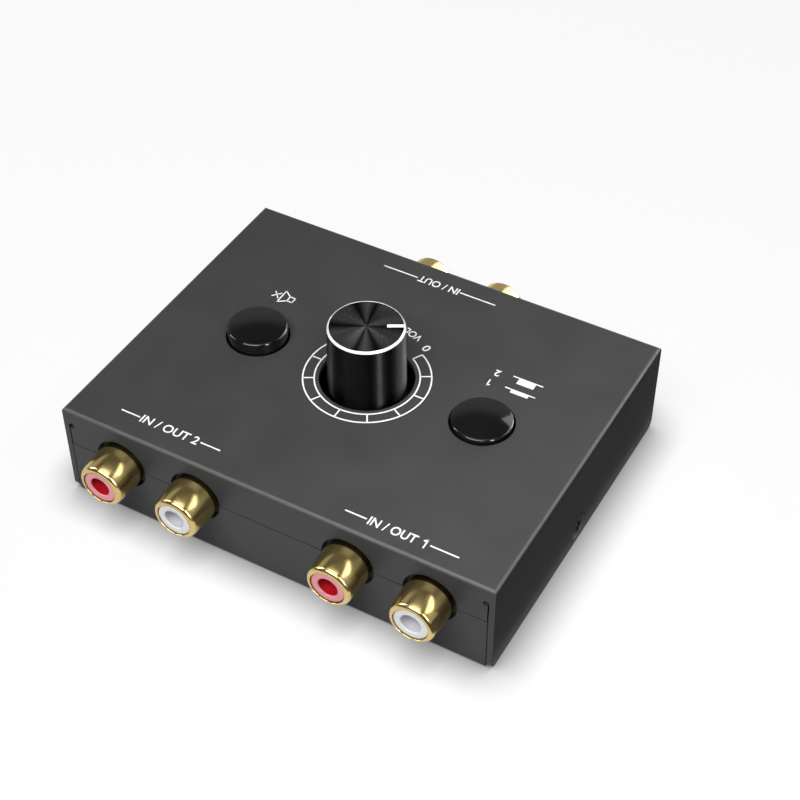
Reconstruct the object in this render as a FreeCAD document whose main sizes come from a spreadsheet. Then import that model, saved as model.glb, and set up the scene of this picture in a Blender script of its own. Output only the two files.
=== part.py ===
import FreeCAD, Part
import math
import os
from types import SimpleNamespace

import Sketcher

# Audio source selector: a folded sheet-metal box with four phono sockets in front and two behind,
# a volume knob in the middle of the top, a mute button on the left and a source button on the right.
# Frame: origin under the middle of the case, +X to the right along the long front, +Y to the back, +Z up.

# Driving dimensions, in millimetres (turns in degrees)
SIZES = (
    ("case_width", 80.0, "case, side to side"),
    ("case_depth", 62.0, "case, front to back"),
    ("case_height", 18.6, "case, bottom to top"),
    ("sheet", 1.0, "thickness of the case sheet"),
    ("bend_inside", 0.2, "inner radius of a fold in the sheet"),
    ("bend_outside", 0.6, "outer radius of a fold, pressed sharp"),
    ("corner_gap", 0.25, "gap between a front or back flange and the side wall"),
    ("seam_gap", 0.2, "gap along the seam between cover and tray"),
    ("side_play", 0.15, "gap between the tray tabs and the cover sides"),
    ("skirt_corner", 1.6, "rounding of the lower corners of the cover sides"),
    ("relief_radius", 0.55, "fold relief at the upper end of a corner gap"),
    ("relief_drop", 3.4, "fold relief below the top of the case"),
    ("tab_width", 22.0, "width of a tray side tab"),
    ("tab_height", 6.4, "height of a tray side tab"),
    ("side_screw_height", 3.2, "side screw axis above the bottom"),
    ("side_screw_radius", 1.25, "side screw shank"),
    ("side_screw_head", 2.45, "side screw head radius"),
    ("side_screw_length", 3.0, "side screw, overall"),
    ("side_collar_radius", 2.3, "drawn collar around the side screw thread"),
    ("side_collar_length", 0.5, "drawn collar, inside the tab"),
    ("cross_span", 2.7, "cross recess, tip to tip"),
    ("cross_width", 0.6, "cross recess, width of a slot"),
    ("cross_depth", 0.7, "depth of the cross recess"),
    ("thread_play", 0.05, "radial gap around a screw shank"),
    ("board_side_gap", 2.5, "gap between the circuit board and a side wall"),
    ("board_end_gap", 1.0, "gap between the circuit board and a front or back wall"),
    ("board_thickness", 1.6, "circuit board thickness"),
    ("board_corner", 1.5, "circuit board corner radius"),
    ("spacer_height", 1.9, "board spacer above the tray floor"),
    ("spacer_radius", 2.4, "board spacer radius"),
    ("spacer_spigot", 1.8, "board spacer spigot in the tray floor"),
    ("board_screw_inset", 4.0, "board screws from the side edges of the board"),
    ("board_screw_front", 12.0, "front board screws from the middle"),
    ("board_screw_back_inset", 5.0, "back board screws from the back edge of the board"),
    ("board_screw_radius", 1.2, "board screw shank"),
    ("board_screw_head", 2.2, "board screw head radius"),
    ("board_screw_head_height", 1.4, "board screw head height"),
    ("board_screw_length", 4.0, "board screw under the head"),
    ("jack_pitch", 14.6, "between the two sockets of a pair"),
    ("side_share", 0.27, "buttons and front pairs of sockets from the middle, as a share of the case's width"),
    ("panel_hole_radius", 4.75, "hole in the case around a socket"),
    ("shell_radius", 4.2, "socket shell, outside"),
    ("shell_bore", 3.15, "socket shell, inside"),
    ("shell_reach", 6.2, "socket shell in front of the case"),
    ("shell_tail", 4.4, "socket shell behind the front of the case"),
    ("shell_lip", 0.4, "rounding of the shell's mouth"),
    ("shell_neck", 4.0, "shell behind its barrel, radius"),
    ("shell_neck_place", 0.6, "end of the shell's barrel, in front of the case"),
    ("flange_radius", 5.0, "shell flange radius"),
    ("flange_thickness", 0.9, "shell flange thickness"),
    ("ground_tab_width", 1.4, "ground tab, across"),
    ("ground_tab_thickness", 0.8, "ground tab, thick"),
    ("ground_tab_place", 3.8, "ground tab behind the front of the case"),
    ("housing_play", 0.2, "gap between a socket housing and the case wall"),
    ("housing_width", 10.4, "socket housing, across"),
    ("housing_depth", 9.4, "socket housing, front to back"),
    ("housing_rise", 5.5, "socket housing above the socket axis"),
    ("housing_bevel", 0.6, "bevel along the top of a socket housing"),
    ("peg_radius", 0.7, "housing peg"),
    ("peg_length", 1.3, "housing peg length"),
    ("peg_side", 3.9, "housing pegs from the socket axis"),
    ("peg_place", 7.0, "housing pegs behind the front of the case"),
    ("insert_recess", 0.2, "insert front behind the shell's mouth"),
    ("insert_hole", 1.8, "hole in the front of the insert"),
    ("insert_back", 8.9, "insert back behind the front of the case"),
    ("insert_edge", 0.25, "bevel at the insert's front edge"),
    ("contact_bore", 1.65, "centre contact, inside radius"),
    ("contact_wall", 0.4, "centre contact wall"),
    ("contact_set_back", 2.6, "centre contact behind the insert's front"),
    ("contact_slit", 0.4, "slit in the centre contact"),
    ("tail_place", 7.9, "centre contact tail behind the front of the case"),
    ("tail_width", 1.0, "centre contact tail, across"),
    ("tail_thickness", 0.6, "centre contact tail, thick"),
    ("pin_reach", 0.9, "pins below the circuit board"),
    ("hole_play", 0.15, "gap around a pin in the circuit board"),
    ("fit_play", 0.05, "gap around a fitted piece"),
    ("run_play", 0.05, "running gap around a turning or sliding piece"),
    ("pot_width", 10.0, "potentiometer, side to side"),
    ("pot_depth", 11.0, "potentiometer, front to back"),
    ("pot_height", 7.2, "potentiometer housing height"),
    ("pot_floor", 1.2, "potentiometer housing floor"),
    ("pot_cavity", 4.3, "potentiometer cavity radius"),
    ("pot_edge", 0.6, "potentiometer housing corner radius"),
    ("bushing_plate", 1.0, "bushing plate thickness"),
    ("bushing_radius", 3.5, "bushing outside"),
    ("bushing_gap", 0.8, "bushing below the knob"),
    ("shaft_radius", 3.0, "potentiometer shaft"),
    ("shaft_waist", 2.0, "shaft inside the housing"),
    ("shaft_flat", 1.6, "flat on the shaft, from the axis"),
    ("shaft_engagement", 8.0, "shaft inside the knob core"),
    ("pivot_radius", 1.0, "pivot at the foot of the shaft"),
    ("pivot_length", 0.7, "pivot length"),
    ("track_thickness", 0.4, "resistance track disc"),
    ("track_inner", 2.5, "resistance track inner radius"),
    ("rotor_radius", 4.0, "rotor radius"),
    ("rotor_thickness", 1.8, "rotor thickness"),
    ("wiper_width", 0.6, "wiper width"),
    ("wiper_thickness", 0.25, "wiper thickness"),
    ("pot_pin_pitch", 2.5, "between potentiometer terminals"),
    ("pot_pin_row", 4.85, "potentiometer terminal rows from the axis"),
    ("pot_pin_width", 0.8, "potentiometer terminal, across"),
    ("pot_pin_thickness", 0.4, "potentiometer terminal, thick"),
    ("pot_pin_seat", 3.0, "potentiometer terminal inside the housing"),
    ("knob_radius", 6.7, "knob at its foot"),
    ("knob_top_radius", 6.5, "knob below its bright edge"),
    ("knob_rise", 11.4, "knob top above the case"),
    ("knob_sink", 1.6, "knob foot below the top of the case"),
    ("knob_edge", 0.5, "bright edge bevel of the knob"),
    ("knob_crown", 2.4, "knob top thickness"),
    ("knob_cavity", 5.2, "knob cavity radius"),
    ("knob_core_rise", 0.4, "knob core above the knob's foot"),
    ("knob_hole_radius", 8.1, "hole in the cover around the knob"),
    ("pointer_width", 0.7, "pointer groove width"),
    ("pointer_start", 3.4, "pointer groove, inner end from the axis"),
    ("pointer_depth", 0.25, "pointer groove depth"),
    ("knob_turn", 30.0, "pointer at rest, degrees from +X towards +Y"),
    ("button_gap", 0.35, "gap around a button cap in the cover"),
    ("cap_radius", 5.2, "button cap radius"),
    ("cap_wall", 0.9, "button cap wall"),
    ("cap_roof", 1.4, "button cap roof"),
    ("cap_edge", 0.6, "rounding of the cap's upper edge"),
    ("cap_dome", 24.0, "radius of the cap's domed top"),
    ("cap_boss", 2.7, "boss inside the cap"),
    ("cap_boss_length", 3.2, "boss below the cap's roof"),
    ("mute_rise", 2.7, "top of a cap that stands out, above the case"),
    ("latch_depth", 1.45, "a latched cap below one that stands out"),
    ("press_travel", 2.2, "full travel of a button"),
    ("press_margin", 0.4, "cap above the switch at full press"),
    ("switch_width", 8.4, "switch housing, both ways"),
    ("switch_height", 7.0, "switch housing height"),
    ("switch_wall", 0.9, "switch housing wall"),
    ("switch_floor", 0.6, "switch housing floor"),
    ("switch_roof", 0.8, "switch housing roof"),
    ("slider_width", 5.2, "slider, both ways"),
    ("slider_height", 2.8, "slider height"),
    ("post_width", 3.0, "post on the slider, both ways"),
    ("spring_seat_radius", 1.8, "spring seat in the slider"),
    ("spring_seat_depth", 1.5, "depth of the spring seat"),
    ("coil_radius", 1.35, "return spring, middle of the wire"),
    ("spring_wire", 0.25, "return spring wire"),
    ("spring_turns", 5.0, "return spring turns"),
    ("strip_pitch", 2.5, "between switch terminals"),
    ("strip_width", 0.8, "switch terminal, across"),
    ("strip_thickness", 0.25, "switch terminal, thick"),
    ("strip_rise", 3.6, "switch terminal above the housing floor"),
    ("bridge_width", 3.4, "sliding contact, front to back"),
    ("bridge_height", 1.4, "sliding contact height"),
    ("bridge_thickness", 0.25, "sliding contact, thick"),
    ("latch_radius", 0.2, "latch wire radius"),
    ("cam_width", 1.0, "cam groove in the slider, across"),
    ("cam_depth", 1.0, "cam groove depth"),
)

doc = FreeCAD.newDocument("source_selector")
sheet = doc.addObject("Spreadsheet::Sheet", "Sizes")
for row, (alias, amount, meaning) in enumerate(SIZES, start=1):
    sheet.set(f"A{row}", meaning)
    sheet.set(f"B{row}", str(amount))
    sheet.setAlias(f"B{row}", alias)
doc.recompute()


class Formula:
    """A length, as a formula on the cells of the size sheet."""

    def __init__(self, text):
        self.text = text

    def __add__(self, other):
        return Formula(f"({self.text} + {written(other)})")

    def __radd__(self, other):
        return Formula(f"({written(other)} + {self.text})")

    def __sub__(self, other):
        return Formula(f"({self.text} - {written(other)})")

    def __rsub__(self, other):
        return Formula(f"({written(other)} - {self.text})")

    def __mul__(self, other):
        return Formula(f"({self.text} * {written(other)})")

    def __rmul__(self, other):
        return Formula(f"({written(other)} * {self.text})")

    def __truediv__(self, other):
        return Formula(f"({self.text} / {written(other)})")

    def __neg__(self):
        return Formula(f"(-{self.text})")


def written(amount):
    return amount.text if isinstance(amount, Formula) else repr(amount)


def number(amount):
    """The present value of a formula, in millimetres."""
    return float(sheet.evalExpression(amount.text)) if isinstance(amount, Formula) else float(amount)


def root_of(formula):
    return Formula(f"sqrt({formula.text})")


def bind(owner, path, formula):
    """Tie a property to the size sheet."""
    owner.setExpression(path, written(formula))


size = SimpleNamespace(**{alias: Formula(f"Sizes.{alias}") for alias, _, _ in SIZES})
ZERO = 0

# Places that follow from the driving dimensions
half_width = size.case_width / 2
half_depth = size.case_depth / 2
inner_half_width = half_width - size.sheet
inner_half_depth = half_depth - size.sheet
cover_inside = size.case_height - size.sheet
tray_half_width = inner_half_width - size.side_play
relief_height = size.case_height - size.relief_drop
button_hole_radius = size.cap_radius + size.button_gap

board_bottom = size.sheet + size.spacer_height
board_top = board_bottom + size.board_thickness
board_width = size.case_width - (size.sheet + size.board_side_gap) * 2
board_depth = size.case_depth - (size.sheet + size.board_end_gap) * 2
pin_foot = board_bottom - size.pin_reach

# The sockets stand half-way between board and cover, and the seam runs through their axes
jack_height = (board_top + cover_inside) / 2
seam_low = jack_height - size.seam_gap / 2
seam_high = jack_height + size.seam_gap / 2
jack_pair_side = size.case_width * size.side_share
button_side = size.case_width * size.side_share
jack_drop = jack_height - board_top
jack_pin_foot = jack_height - pin_foot
housing_front = size.sheet + size.housing_play
housing_back = housing_front + size.housing_depth
insert_radius = size.shell_bore - size.fit_play
insert_front = size.insert_recess - size.shell_reach
contact_front = insert_front + size.contact_set_back
contact_radius = size.contact_bore + size.contact_wall
contact_back = size.tail_place + size.tail_thickness / 2

pot_top = board_top + size.pot_height
pot_cavity_floor = board_top + size.pot_floor
bushing_bottom = pot_top + size.bushing_plate
track_top = pot_cavity_floor + size.track_thickness
rotor_bottom = track_top + size.wiper_thickness + size.run_play
knob_foot = size.case_height - size.knob_sink
knob_top = size.case_height + size.knob_rise
knob_ceiling = knob_top - size.knob_crown
core_foot = knob_foot + size.knob_core_rise
shaft_bore = size.shaft_radius + size.run_play
shaft_top = core_foot + size.shaft_engagement

switch_top = board_top + size.switch_height
switch_cavity_floor = board_top + size.switch_floor
switch_ceiling = switch_top - size.switch_roof
switch_half_cavity = size.switch_width / 2 - size.switch_wall
slider_top = switch_ceiling - size.run_play
slider_bottom = slider_top - size.slider_height
spring_top = slider_bottom + size.spring_seat_depth
strip_side = switch_half_cavity - size.strip_thickness / 2
cap_top = size.case_height + size.mute_rise
cap_bottom = switch_top + size.press_travel + size.press_margin
cap_ceiling = cap_top - size.cap_roof
cap_boss_bottom = cap_ceiling - size.cap_boss_length
post_top = cap_ceiling - size.fit_play

board_screw_side = board_width / 2 - size.board_screw_inset
board_screw_places = ((board_screw_side, -size.board_screw_front),
                      (board_screw_side, board_depth / 2 - size.board_screw_back_inset))
terminal_steps = (-1, 0, 1)


# Sketches and features

def plane_of(body, role):
    return next(item for item in body.Origin.OriginFeatures if item.Role == role)


def new_body(name):
    body = doc.addObject("PartDesign::Body", name)
    body.Label = name
    return body


def new_sketch(body, name, role="XY_Plane", rise=ZERO):
    """A sketch on one of the body's origin planes, moved along the plane's normal by rise."""
    sketch = body.newObject("Sketcher::SketchObject", name)
    sketch.AttachmentSupport = [(plane_of(body, role), "")]
    sketch.MapMode = "FlatFace"
    if rise is not ZERO:
        bind(sketch, "AttachmentOffset.Base.z", rise)
    return sketch


def hold(sketch, kind, *where, amount):
    """A driving dimension in a sketch."""
    index = sketch.addConstraint(Sketcher.Constraint(kind, *where, number(amount)))
    bind(sketch, f"Constraints[{index}]", amount)


def place_point(sketch, curve, end, x, y):
    for kind, axis, place in (("DistanceX", -2, x), ("DistanceY", -1, y)):
        if place is ZERO:
            sketch.addConstraint(Sketcher.Constraint("PointOnObject", curve, end, axis))
        else:
            hold(sketch, kind, -1, 1, curve, end, amount=place)


def draw_circle(sketch, radius, x=ZERO, y=ZERO):
    centre = FreeCAD.Vector(number(x), number(y), 0)
    circle = Part.Circle(centre, FreeCAD.Vector(0, 0, 1), number(radius))
    curve = sketch.addGeometry(circle, False)
    hold(sketch, "Radius", curve, amount=radius)
    place_point(sketch, curve, 3, x, y)


def arc_between(start, end, radius):
    """An arc from start to end, turning left, with its middle on the right of the way there."""
    along = end - start
    half = along.Length / 2
    outward = FreeCAD.Vector(along.y, -along.x, 0).normalize()
    bulge = radius - math.sqrt(radius ** 2 - half ** 2)
    middle = (start + end) / 2 + outward * bulge
    return Part.Arc(start, middle, end)


def draw_outline(sketch, corners):
    """A closed outline, corners in left-turning order; a third value makes the next side an arc."""
    points = [FreeCAD.Vector(number(corner[0]), number(corner[1]), 0) for corner in corners]
    curves = []
    for index, corner in enumerate(corners):
        start = points[index]
        end = points[(index + 1) % len(points)]
        if len(corner) == 3:
            side = arc_between(start, end, number(corner[2]))
        else:
            side = Part.LineSegment(start, end)
        curves.append(sketch.addGeometry(side, False))
    for index, corner in enumerate(corners):
        curve = curves[index]
        following = curves[(index + 1) % len(curves)]
        sketch.addConstraint(Sketcher.Constraint("Coincident", curve, 2, following, 1))
        place_point(sketch, curve, 1, corner[0], corner[1])
        if len(corner) == 3:
            hold(sketch, "Radius", curve, amount=corner[2])


def draw_rectangle(sketch, width, depth, x=ZERO, y=ZERO):
    """A rectangle by its middle and its two sizes."""
    left, right = x - width / 2, x + width / 2
    low, high = y - depth / 2, y + depth / 2
    draw_outline(sketch, ((left, low), (right, low), (right, high), (left, high)))


def pad(body, sketch, name, length, symmetric=False, reverse=False):
    feature = body.newObject("PartDesign::Pad", name)
    feature.Profile = sketch
    feature.SideType = "Symmetric" if symmetric else "One side"
    feature.Reversed = reverse
    bind(feature, "Length", length)
    return feature


def pocket(body, sketch, name, length, symmetric=False, reverse=False):
    feature = body.newObject("PartDesign::Pocket", name)
    feature.Profile = sketch
    feature.SideType = "Symmetric" if symmetric else "One side"
    feature.Reversed = reverse
    bind(feature, "Length", length)
    return feature


def turn(body, sketch, name, axis="V_Axis", cut=False):
    """A full turn of the sketch about one of its own axes, added or cut."""
    feature = body.newObject("PartDesign::Groove" if cut else "PartDesign::Revolution", name)
    feature.Profile = sketch
    feature.ReferenceAxis = (sketch, [axis])
    feature.Angle = 360
    return feature


def mirror(body, name, originals, role="YZ_Plane"):
    feature = body.newObject("PartDesign::Mirrored", name)
    feature.Originals = originals
    feature.MirrorPlane = (plane_of(body, role), [""])
    body.Tip = feature
    return feature


def dress(body, name, kind, amount, wanted):
    """Fillet or chamfer the edges of the body that the test wanted picks."""
    doc.recompute()
    base = body.Tip
    edges = [f"Edge{index}" for index, edge in enumerate(base.Shape.Edges, start=1) if wanted(edge.BoundBox)]
    if not edges:
        raise RuntimeError(f"{name} finds no edge")
    feature = body.newObject(f"PartDesign::{kind}", name)
    feature.Base = (base, edges)
    bind(feature, "Radius" if kind == "Fillet" else "Size", amount)
    return feature


def at(first, second):
    return abs(first - second) < 1e-4


def level_edges(height):
    """A test for edges that lie flat at a height."""
    def wanted(bounds):
        return at(bounds.ZMin, number(height)) and at(bounds.ZMax, number(height))
    return wanted


def upright_edges(bounds):
    """A test for straight upright edges."""
    return at(bounds.XMin, bounds.XMax) and at(bounds.YMin, bounds.YMax) and bounds.ZLength > 0.1


def block(name, spans, x=ZERO, y=ZERO, base=ZERO):
    """A box by its three spans, the middle of its plan and the height of its foot."""
    item = doc.addObject("Part::Box", name)
    width, depth, height = spans
    bind(item, "Length", width)
    bind(item, "Width", depth)
    bind(item, "Height", height)
    bind(item, "Placement.Base.x", x - width / 2)
    bind(item, "Placement.Base.y", y - depth / 2)
    bind(item, "Placement.Base.z", base)
    return item


def rod(name, radius, length, x=ZERO, y=ZERO, base=ZERO, axis=FreeCAD.Vector(0, 0, 1)):
    """A cylinder by the middle of its starting face."""
    item = doc.addObject("Part::Cylinder", name)
    item.Placement = FreeCAD.Placement(FreeCAD.Vector(), FreeCAD.Rotation(FreeCAD.Vector(0, 0, 1), axis))
    bind(item, "Radius", radius)
    bind(item, "Height", length)
    bind(item, "Placement.Base.x", x)
    bind(item, "Placement.Base.y", y)
    bind(item, "Placement.Base.z", base)
    return item


def group(name, items):
    """Separate solids that share a node, or tools that cut together."""
    compound = doc.addObject("Part::Compound", name)
    compound.Links = items
    return compound


def cut(name, base, tools):
    result = doc.addObject("Part::Cut", name)
    result.Base = base
    result.Tool = group(f"{name}_tools", tools)
    return result


def fuse(name, items):
    result = doc.addObject("Part::MultiFuse", name)
    result.Shapes = items
    return result


def move(item, x=ZERO, y=ZERO, z=ZERO, degrees=0):
    """Set a finished piece in its place, turned about the upright axis."""
    item.Placement = FreeCAD.Placement(FreeCAD.Vector(), FreeCAD.Rotation(FreeCAD.Vector(0, 0, 1), 1))
    bind(item, "Placement.Rotation.Angle", degrees)
    bind(item, "Placement.Base.x", x)
    bind(item, "Placement.Base.y", y)
    bind(item, "Placement.Base.z", z)
    return item


def draw_cross(sketch, span, width):
    """The outline of a cross recess, centred."""
    far, near = span / 2, width / 2
    draw_outline(sketch, (
        (far, -near), (far, near), (near, near), (near, far), (-near, far), (-near, near),
        (-far, near), (-far, -near), (-near, -near), (-near, -far), (near, -far), (near, -near),
    ))


# Case

def top_cover():
    body = new_body("top_cover")
    plan = new_sketch(body, "cover_plan")
    draw_rectangle(plan, size.case_width, size.case_depth)
    pad(body, plan, "cover_block", size.case_height)
    dress(body, "cover_outer_folds", "Fillet", size.bend_outside, level_edges(size.case_height))

    inside = new_sketch(body, "cover_inside_plan")
    draw_rectangle(inside, inner_half_width * 2, inner_half_depth * 2)
    pocket(body, inside, "cover_inside", cover_inside, reverse=True)
    dress(body, "cover_inner_folds", "Fillet", size.bend_inside, level_edges(cover_inside))

    below = new_sketch(body, "cover_opening_below_seam", "XZ_Plane")
    draw_rectangle(below, inner_half_width * 2, seam_high * 2)
    pocket(body, below, "cover_below_seam", size.case_depth * 2, symmetric=True)

    gap = new_sketch(body, "corner_gap_outline", "XZ_Plane")
    gap_middle = inner_half_width - size.corner_gap / 2
    draw_rectangle(gap, size.corner_gap, relief_height, gap_middle, relief_height / 2)
    gap_cut = pocket(body, gap, "corner_gap_cut", size.case_depth * 2, symmetric=True)
    relief = new_sketch(body, "fold_relief_outline", "XZ_Plane")
    draw_circle(relief, size.relief_radius, inner_half_width - size.relief_radius, relief_height)
    relief_cut = pocket(body, relief, "fold_relief_cut", size.case_depth * 2, symmetric=True)
    mirror(body, "left_corner_gaps", [gap_cut, relief_cut])

    front = new_sketch(body, "front_jack_holes", "XZ_Plane", rise=half_depth)
    for side in (-1, 1):
        draw_circle(front, size.panel_hole_radius,
                    jack_pair_side + side * size.jack_pitch / 2, jack_height)
    front_cut = pocket(body, front, "front_jack_cut", size.sheet)
    mirror(body, "left_front_jack_holes", [front_cut])
    back = new_sketch(body, "back_jack_holes", "XZ_Plane", rise=-half_depth)
    draw_circle(back, size.panel_hole_radius, size.jack_pitch / 2, jack_height)
    back_cut = pocket(body, back, "back_jack_cut", size.sheet, reverse=True)
    mirror(body, "other_back_jack_hole", [back_cut])

    controls = new_sketch(body, "control_holes", rise=size.case_height)
    draw_circle(controls, size.knob_hole_radius)
    for side in (-1, 1):
        draw_circle(controls, button_hole_radius, side * button_side)
    pocket(body, controls, "control_cut", size.sheet)

    sink = new_sketch(body, "screw_sink_profile", "XZ_Plane")
    head = size.side_screw_head + size.fit_play
    foot = head - size.sheet
    draw_outline(sink, (
        (inner_half_width, size.side_screw_height), (inner_half_width, size.side_screw_height - foot),
        (half_width, size.side_screw_height - head), (half_width, size.side_screw_height),
    ))
    sink_axis = sink.addGeometry(Part.LineSegment(
        FreeCAD.Vector(0, number(size.side_screw_height), 0),
        FreeCAD.Vector(1, number(size.side_screw_height), 0)), True)
    sink.addConstraint(Sketcher.Constraint("Horizontal", sink_axis))
    place_point(sink, sink_axis, 1, ZERO, size.side_screw_height)
    hold(sink, "DistanceX", sink_axis, 1, sink_axis, 2, amount=size.sheet)
    sink_cut = turn(body, sink, "screw_sink_cut", axis="Axis0", cut=True)
    mirror(body, "left_screw_sink", [sink_cut])

    half_inner, front_edge = number(inner_half_width), number(half_depth)

    def skirt_edges(bounds):
        return (at(bounds.ZMax, 0) and at(abs(bounds.YMin), front_edge) and at(bounds.YLength, 0)
                and min(abs(bounds.XMin), abs(bounds.XMax)) > half_inner - 1e-4)

    dress(body, "skirt_corners", "Fillet", size.skirt_corner, skirt_edges)
    return body


def bottom_tray():
    body = new_body("bottom_tray")
    section = new_sketch(body, "tray_section", "YZ_Plane")
    draw_rectangle(section, size.case_depth, seam_low, ZERO, seam_low / 2)
    pad(body, section, "tray_block", tray_half_width * 2, symmetric=True)
    front_edge = number(half_depth)

    def outer_folds(bounds):
        return at(bounds.ZMax, 0) and at(abs(bounds.YMin), front_edge) and at(bounds.YLength, 0)

    dress(body, "tray_outer_folds", "Fillet", size.bend_outside, outer_folds)
    hollow = new_sketch(body, "tray_hollow_section", "YZ_Plane")
    hollow_height = seam_low
    draw_rectangle(hollow, inner_half_depth * 2, hollow_height, ZERO,
                   size.sheet + hollow_height / 2)
    pocket(body, hollow, "tray_hollow", size.case_width * 2, symmetric=True)
    inner_edge = number(inner_half_depth)
    floor = number(size.sheet)

    def inner_folds(bounds):
        return (at(bounds.ZMin, floor) and at(bounds.ZMax, floor)
                and at(abs(bounds.YMin), inner_edge) and at(bounds.YLength, 0))

    dress(body, "tray_inner_folds", "Fillet", size.bend_inside, inner_folds)

    tab = new_sketch(body, "side_tab_outline", "YZ_Plane", rise=tray_half_width)
    draw_rectangle(tab, size.tab_width, size.tab_height, ZERO, size.tab_height / 2)
    tab_pad = pad(body, tab, "side_tab", size.sheet, reverse=True)
    collar = new_sketch(body, "side_collar_outline", "YZ_Plane", rise=tray_half_width - size.sheet)
    draw_circle(collar, size.side_collar_radius, ZERO, size.side_screw_height)
    collar_pad = pad(body, collar, "side_collar", size.side_collar_length, reverse=True)
    thread = new_sketch(body, "side_thread_outline", "YZ_Plane", rise=tray_half_width)
    draw_circle(thread, size.side_screw_radius + size.thread_play, ZERO, size.side_screw_height)
    thread_cut = pocket(body, thread, "side_thread", size.sheet + size.side_collar_length)
    mirror(body, "left_tab", [tab_pad, collar_pad, thread_cut])

    front = new_sketch(body, "front_jack_notches", "XZ_Plane", rise=half_depth)
    for side in (-1, 1):
        draw_circle(front, size.panel_hole_radius,
                    jack_pair_side + side * size.jack_pitch / 2, jack_height)
    front_cut = pocket(body, front, "front_notch_cut", size.sheet)
    mirror(body, "left_front_notches", [front_cut])
    back = new_sketch(body, "back_jack_notches", "XZ_Plane", rise=-half_depth)
    draw_circle(back, size.panel_hole_radius, size.jack_pitch / 2, jack_height)
    back_cut = pocket(body, back, "back_notch_cut", size.sheet, reverse=True)
    mirror(body, "other_back_notch", [back_cut])

    spigots = new_sketch(body, "spacer_spigot_holes", rise=size.sheet)
    for x, y in board_screw_places:
        draw_circle(spigots, size.spacer_spigot + size.fit_play, x, y)
    spigot_cut = pocket(body, spigots, "spacer_spigot_cut", size.sheet)
    mirror(body, "left_spigot_holes", [spigot_cut])
    return body


def side_screw_profile(sketch):
    """Half of a countersunk screw, head outwards along +X from the sketch's origin."""
    head, shank = size.side_screw_head, size.side_screw_radius
    draw_outline(sketch, (
        (-size.side_screw_length, ZERO), (ZERO, ZERO), (ZERO, head), (shank - head, shank),
        (-size.side_screw_length, shank),
    ))


def side_screws():
    screws = []
    for side, degrees in (("right", 0), ("left", 180)):
        body = doc.addObject("PartDesign::Body", f"side_screw_{side}")
        profile = new_sketch(body, f"side_screw_profile_{side}", "XZ_Plane")
        side_screw_profile(profile)
        turn(body, profile, f"side_screw_solid_{side}", axis="H_Axis")
        recess = new_sketch(body, f"side_screw_recess_{side}", "YZ_Plane")
        draw_cross(recess, size.cross_span, size.cross_width)
        pocket(body, recess, f"side_screw_cross_{side}", size.cross_depth)
        reach = half_width if degrees == 0 else -half_width
        screws.append(move(body, reach, ZERO, size.side_screw_height, degrees))
    return labelled(group("side_screws", screws))


def labelled(item):
    item.Label = item.Name
    return item


# Circuit board and what holds it

def board_pin_radius(width, thickness):
    """Radius of a round hole that a flat pin passes."""
    return root_of(width * width + thickness * thickness) / 2 + size.hole_play


def jack_board_holes(sketch, x, forward):
    """Holes under one socket; forward is -1 for a front socket and 1 for a back one."""
    rows = (
        (board_pin_radius(size.ground_tab_width, size.ground_tab_thickness), size.ground_tab_place, (ZERO,)),
        (board_pin_radius(size.tail_width, size.tail_thickness), size.tail_place, (ZERO,)),
        (size.peg_radius + size.hole_play, size.peg_place, (-size.peg_side, size.peg_side)),
    )
    for radius, behind, sides in rows:
        for side in sides:
            draw_circle(sketch, radius, x + side, forward * (half_depth - behind))


def circuit_board():
    body = new_body("circuit_board")
    plan = new_sketch(body, "board_plan", rise=board_bottom)
    draw_rectangle(plan, board_width, board_depth)
    pad(body, plan, "board_plate", size.board_thickness)
    dress(body, "board_corners", "Fillet", size.board_corner, upright_edges)

    groups = []
    front = new_sketch(body, "front_jack_pins", rise=board_top)
    for side in (-1, 1):
        jack_board_holes(front, jack_pair_side + side * size.jack_pitch / 2, -1)
    groups.append(front)
    back = new_sketch(body, "back_jack_pins", rise=board_top)
    jack_board_holes(back, size.jack_pitch / 2, 1)
    groups.append(back)
    switch = new_sketch(body, "switch_pins", rise=board_top)
    strip_hole = board_pin_radius(size.strip_width, size.strip_thickness)
    for row in (-1, 1):
        for step in terminal_steps:
            along = step * size.strip_pitch if step else ZERO
            draw_circle(switch, strip_hole, button_side + row * strip_side, along)
    groups.append(switch)
    screws = new_sketch(body, "board_screw_holes", rise=board_top)
    for x, y in board_screw_places:
        draw_circle(screws, size.board_screw_radius + size.hole_play, x, y)
    groups.append(screws)
    cuts = [pocket(body, sketch, f"{sketch.Name}_cut", size.board_thickness) for sketch in groups]
    mirror(body, "left_board_holes", cuts)

    pot = new_sketch(body, "pot_pins", rise=board_top)
    pot_hole = board_pin_radius(size.pot_pin_width, size.pot_pin_thickness)
    for row in (-1, 1):
        for step in terminal_steps:
            along = step * size.pot_pin_pitch if step else ZERO
            draw_circle(pot, pot_hole, along, row * size.pot_pin_row)
    pocket(body, pot, "pot_pins_cut", size.board_thickness)
    return body


def board_corners_signed():
    """The four board screw places, as signed formulas."""
    return [(sign * x, y) for sign in (-1, 1) for x, y in board_screw_places]


def board_spacers():
    body = new_body("board_spacers")
    bore = size.board_screw_radius + size.thread_play
    posts = new_sketch(body, "spacer_posts", rise=size.sheet)
    spigots = new_sketch(body, "spacer_spigots")
    bores = new_sketch(body, "spacer_bores", rise=board_bottom)
    for x, y in board_corners_signed():
        draw_circle(posts, size.spacer_radius, x, y)
        draw_circle(spigots, size.spacer_spigot, x, y)
        draw_circle(bores, bore, x, y)
    pad(body, posts, "spacer_post_pads", size.spacer_height)
    pad(body, spigots, "spacer_spigot_pads", size.sheet)
    pocket(body, bores, "spacer_bore_cut", size.sheet + size.spacer_height)
    return body


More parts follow.
